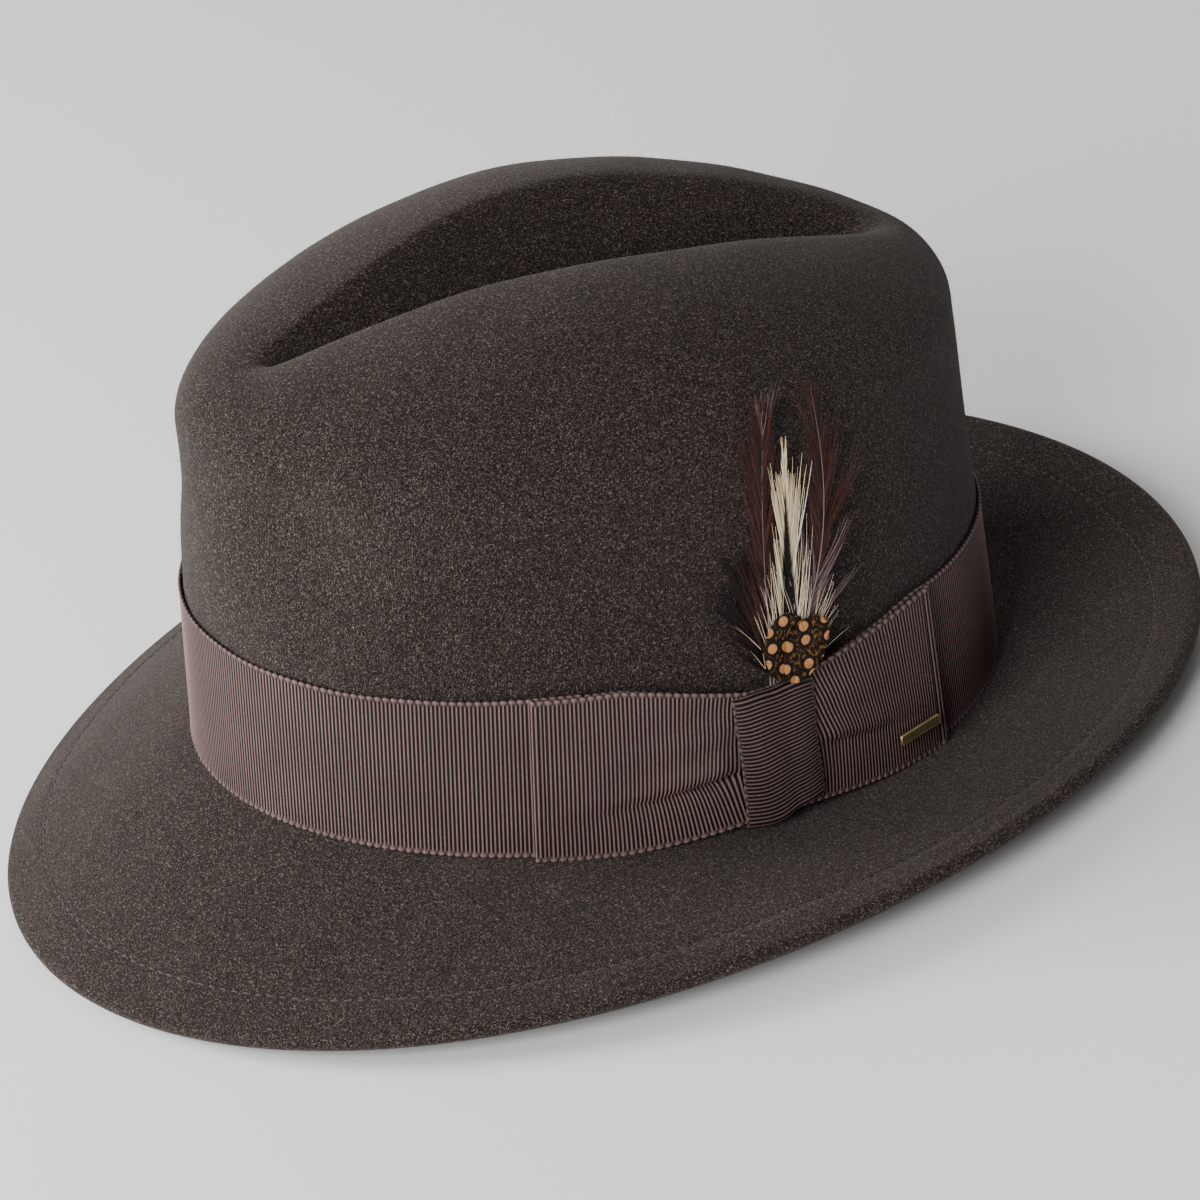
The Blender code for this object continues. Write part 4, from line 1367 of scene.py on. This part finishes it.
def build_inside():
    lining_outer = -(FELT + LINING_GAP)
    sweat_outer = lining_outer - LINING - 1.5 * INNER_GAP
    sweat_inner = sweat_outer - SWEATBAND

    def pleats(phi, z):
        fan = smooth((z - 45) / 30)
        fine = np.sin(phi * 46 + 0.8 * np.sin(phi * 5)) * (0.25 + 0.75 * fan)
        wave = fine + 0.5 * np.sin(phi * 17 + z * 0.05)
        return lining_outer - LINING - 0.22 * (1 + wave) * smooth((z - SWEATBAND_HIGH - 1) / 8)

    def lining_back(phi, z):
        return pleats(phi, z) + LINING * 0.8

    def leather_face(phi, z):
        from_top = SWEATBAND_HIGH - z
        from_low = z - SWEATBAND_LOW
        groove = -0.22 * bell((from_top - 2.2) / 0.35) - 0.18 * bell((from_low - 3.3) / 0.4)
        edge = 0.45 * bell(from_top / 0.5) + 0.45 * bell(from_low / 0.5)
        wave = 0.10 * np.sin(phi * 9 + 1) + 0.06 * np.sin(phi * 23)
        return sweat_inner - groove + edge + wave * 0.5 + 0.1

    def leather_back(phi, z):
        from_top = SWEATBAND_HIGH - z
        from_low = z - SWEATBAND_LOW
        return sweat_outer - 0.3 * bell(from_top / 0.5) - 0.3 * bell(from_low / 0.5)

    heights = np.linspace(LINING_LOW, LINING_HIGH, 60)
    ring_sheet("satin_lining_wall", heights, pleats, lining_back, SATIN_LOOK, "satin", "lining_wall", 720)
    heights = np.concatenate([
        SWEATBAND_LOW + np.array((0, 0.25, 0.6, 1.2, 2.4, 2.8, 3.1, 3.3, 3.5, 3.8, 4.2)),
        np.linspace(5, SWEATBAND_HIGH - 4, 18),
        SWEATBAND_HIGH - np.array((3.0, 2.6, 2.35, 2.2, 2.05, 1.8, 1.4, 0.9, 0.5, 0.2, 0.0)),
    ])
    ring_sheet(
        "leather_sweatband", heights, leather_face, leather_back, LEATHER_LOOK, "leather", "sweatband", 480,
    )

    phi = even_angles(720)
    line = wall(phi, SWEATBAND_LOW + 0.5, -(FELT + INNER_GAP + 0.5))
    reed = piece("sweatband_reed_cord", *tube(line, 0.5, 10, True), REED_LOOK)
    belongs(reed, "hat", "plastic", "sweatband_reed")

    stitches = Parts()
    inwards = joined(-outward(phi), 0.0)
    dashes(stitches, wall(phi, 1.5, sweat_inner - 0.02), -inwards, 3.0, 2.3, 0.17)
    dashes(stitches, wall(phi, SWEATBAND_HIGH - 2.2, sweat_inner + 0.02), -inwards, 2.8, 2.1, 0.14)
    belongs(stitches.make("sweatband_stitches", BAND_THREAD), "hat", "thread", "sweatband_stitching")

    phi = even_angles(1440)
    line = wall(phi, LINING_HIGH - 1.0, lining_outer - LINING - INNER_GAP - 0.5)
    piping = piece("lining_piping_cord", *tube(line, 0.5 + 0.06 * np.cos(phi * 230), 8, True), SATIN_LOOK)
    belongs(piping, "hat", "satin", "lining_piping")
    build_tip(lining_outer)
    build_sweatband_bow(sweat_inner)
    build_label(sweat_inner)


def build_tip(lining_outer):
    """The lining's tip, with soft gathers towards its edge, and the clear film sewn over it."""
    phi = even_angles(360)
    edge = wall(phi, LINING_HIGH, lining_outer - LINING)
    share = np.linspace(0.0, 1.0, 40)[:, None]
    gathers = 0.10 * np.sin(phi * 60)[None] * smooth((share - 0.55) / 0.45)
    dome = 0.12 * (1 - share**2)
    plan = edge[None, :, :2] * share[..., None]
    top = joined(plan, LINING_HIGH + INNER_GAP + LINING + dome)
    low = joined(plan, LINING_HIGH + INNER_GAP + 0.1 + gathers + dome)
    tip = disc("satin_lining_tip", top, low, SATIN_LOOK)
    belongs(tip, "hat", "satin", "lining_tip")
    oval_edge = np.stack([FILM_HALF_WIDTH * np.cos(phi), FILM_HALF_LENGTH * np.sin(phi)], -1)
    height = LINING_HIGH - 2 * INNER_GAP
    rim = 0.12 * bell((share - 0.97) / 0.02)
    plan = oval_edge[None] * share[..., None]
    film_top = joined(plan, height + INNER_GAP * 0.8)
    film_low = joined(plan, height - rim + 0.06 * np.sin(phi * 3)[None] * share)
    film = disc("clear_tip_film", film_top, film_low, CLEAR_LOOK)
    belongs(film, "hat", "clear", "tip_protector")


def disc(name, top, low, look):
    """A closed round plate between two grids whose first rows are one point."""
    rows, columns = top.shape[:2]
    grid = np.concatenate([top, low[::-1]])
    made = piece(name, grid, quads(2 * rows, columns, False, True), look)
    cleaned(made)
    return made


def build_sweatband_bow(sweat_inner):
    """A little flat ribbon bow sewn over the seam at the back of the sweatband."""
    back = arc_at(180)
    face = sweat_inner - INNER_GAP
    step = RIB_PITCH / RIB_STEPS
    place = np.arange(-10.2, 10.2, step)
    spread = smooth((np.abs(place) - 0.8) / 5)
    t = ribbon_rows(10)[:, None]
    half = 1.9 + 2.6 * spread
    z = 8 - half + 2 * half * t
    crease = 0.25 * np.cos(t * 2 * np.pi * 2) * (1 - spread)
    puff = 0.75 + 0.45 * bell((np.abs(place) - 6) / 3) - 0.35 * smooth((np.abs(place) - 9.2) / 1.0)
    rib = ribs(place, t)
    phi = phi_at(back + place)[None]
    front = wall(phi, z, face - puff[None] + crease * 0.5 - 0.12 * rib)
    rear = wall(phi, z, face)
    # The back face gets rib 0, so it takes the grooves' painted shade.
    values = {
        "rib": np.concatenate([rib, rib[::-1] * 0]),
        "selvage": np.concatenate([selvage(t) + 0 * rib, 0 * rib]) * 0.7,
    }
    bow = closed_sheet("small_bow", front, rear, False, RIBBON_LOOK, values)
    belongs(bow, "hat", "ribbon", "sweatband_bow")


def build_label(sweat_inner):
    """A small blank leather label with a pressed border."""
    middle = radians(235)
    across = np.linspace(-1, 1, 60)[None]
    up = np.linspace(-1, 1, 50)[:, None]
    phi = middle + radians(6) * across
    z = 21 + 9 * up
    face = sweat_inner - INNER_GAP
    from_edge = np.minimum((1 - np.abs(across)) * 8.5, (1 - np.abs(up)) * 9)
    press = 0.14 * bell((from_edge - 1.4) / 0.25)
    round_edge = 0.22 * bell(from_edge / 0.3)
    near = wall(phi, z, face - 0.4 + press + round_edge)
    far = wall(phi, z, face)
    label = closed_sheet("blank_size_label", near, far, False, LEATHER_LOOK)
    belongs(label, "hat", "leather", "size_label")


# ---------------------------------------------------------------- studio


def build_studio():
    """A pale floor, a dim even surrounding and four soft lights."""
    mesh = bpy.data.meshes.new("studio_floor")
    corners = [(x * FLOOR_HALF_SIZE, y * FLOOR_HALF_SIZE, 0) for x, y in ((-1, -1), (1, -1), (1, 1), (-1, 1))]
    mesh.from_pydata(corners, [], [(0, 1, 2, 3)])
    floor = linked("studio_floor", mesh)
    paint = Shader("pale_floor", 0.9)
    paint.set("Base Color", (0.92, 0.92, 0.92, 1))
    mesh.materials.append(paint.material)

    world = bpy.data.worlds.new("studio")
    world.use_nodes = True
    world.node_tree.nodes["Background"].inputs["Color"].default_value = (1.0, 0.99, 0.98, 1)
    world.node_tree.nodes["Background"].inputs["Strength"].default_value = WORLD_STRENGTH
    bpy.context.scene.world = world
    for light in LIGHTS:
        add_light(*light)


def direction(azimuth, elevation):
    """Unit vector from the hat towards an azimuth round it, 0 in front, and an elevation."""
    a = radians(azimuth)
    e = radians(elevation)
    return Vector((np.sin(a) * np.cos(e), -np.cos(a) * np.cos(e), np.sin(e)))


def add_light(name, azimuth, elevation, distance, size, power):
    data = bpy.data.lights.new(name, "AREA")
    data.energy = power
    data.size = size
    light = linked(name, data)
    towards = direction(azimuth, elevation)
    light.location = towards * distance + Vector((0, 0, LIGHT_AIM))
    light.rotation_euler = towards.to_track_quat("Z", "Y").to_euler()


def build_camera():
    """The camera, placed in the hat's own frame: it sees the near side and a little of the top."""
    azimuth = radians(CAMERA_AZIMUTH)
    roll = radians(CAMERA_ROLL)
    back = direction(CAMERA_AZIMUTH, CAMERA_ELEVATION)
    right = Vector((np.cos(azimuth), np.sin(azimuth), 0))
    up = back.cross(right)
    x_axis = right * np.cos(roll) + up * np.sin(roll)
    y_axis = up * np.cos(roll) - right * np.sin(roll)
    place = back * CAMERA_DISTANCE + x_axis * CAMERA_RIGHT + y_axis * CAMERA_UP
    turn = Matrix((x_axis, y_axis, back)).transposed()
    pose = TURN.to_3x3() @ turn
    data = bpy.data.cameras.new("camera")
    data.sensor_width = 36.0
    data.lens = CAMERA_LENS
    camera = linked("camera", data)
    camera.matrix_world = Matrix.Translation(to_row(place)) @ pose.to_4x4()
    bpy.context.scene.camera = camera


build_felt()
build_band()
build_bow()
build_pin()
build_spray()
build_inside()
build_studio()
build_camera()
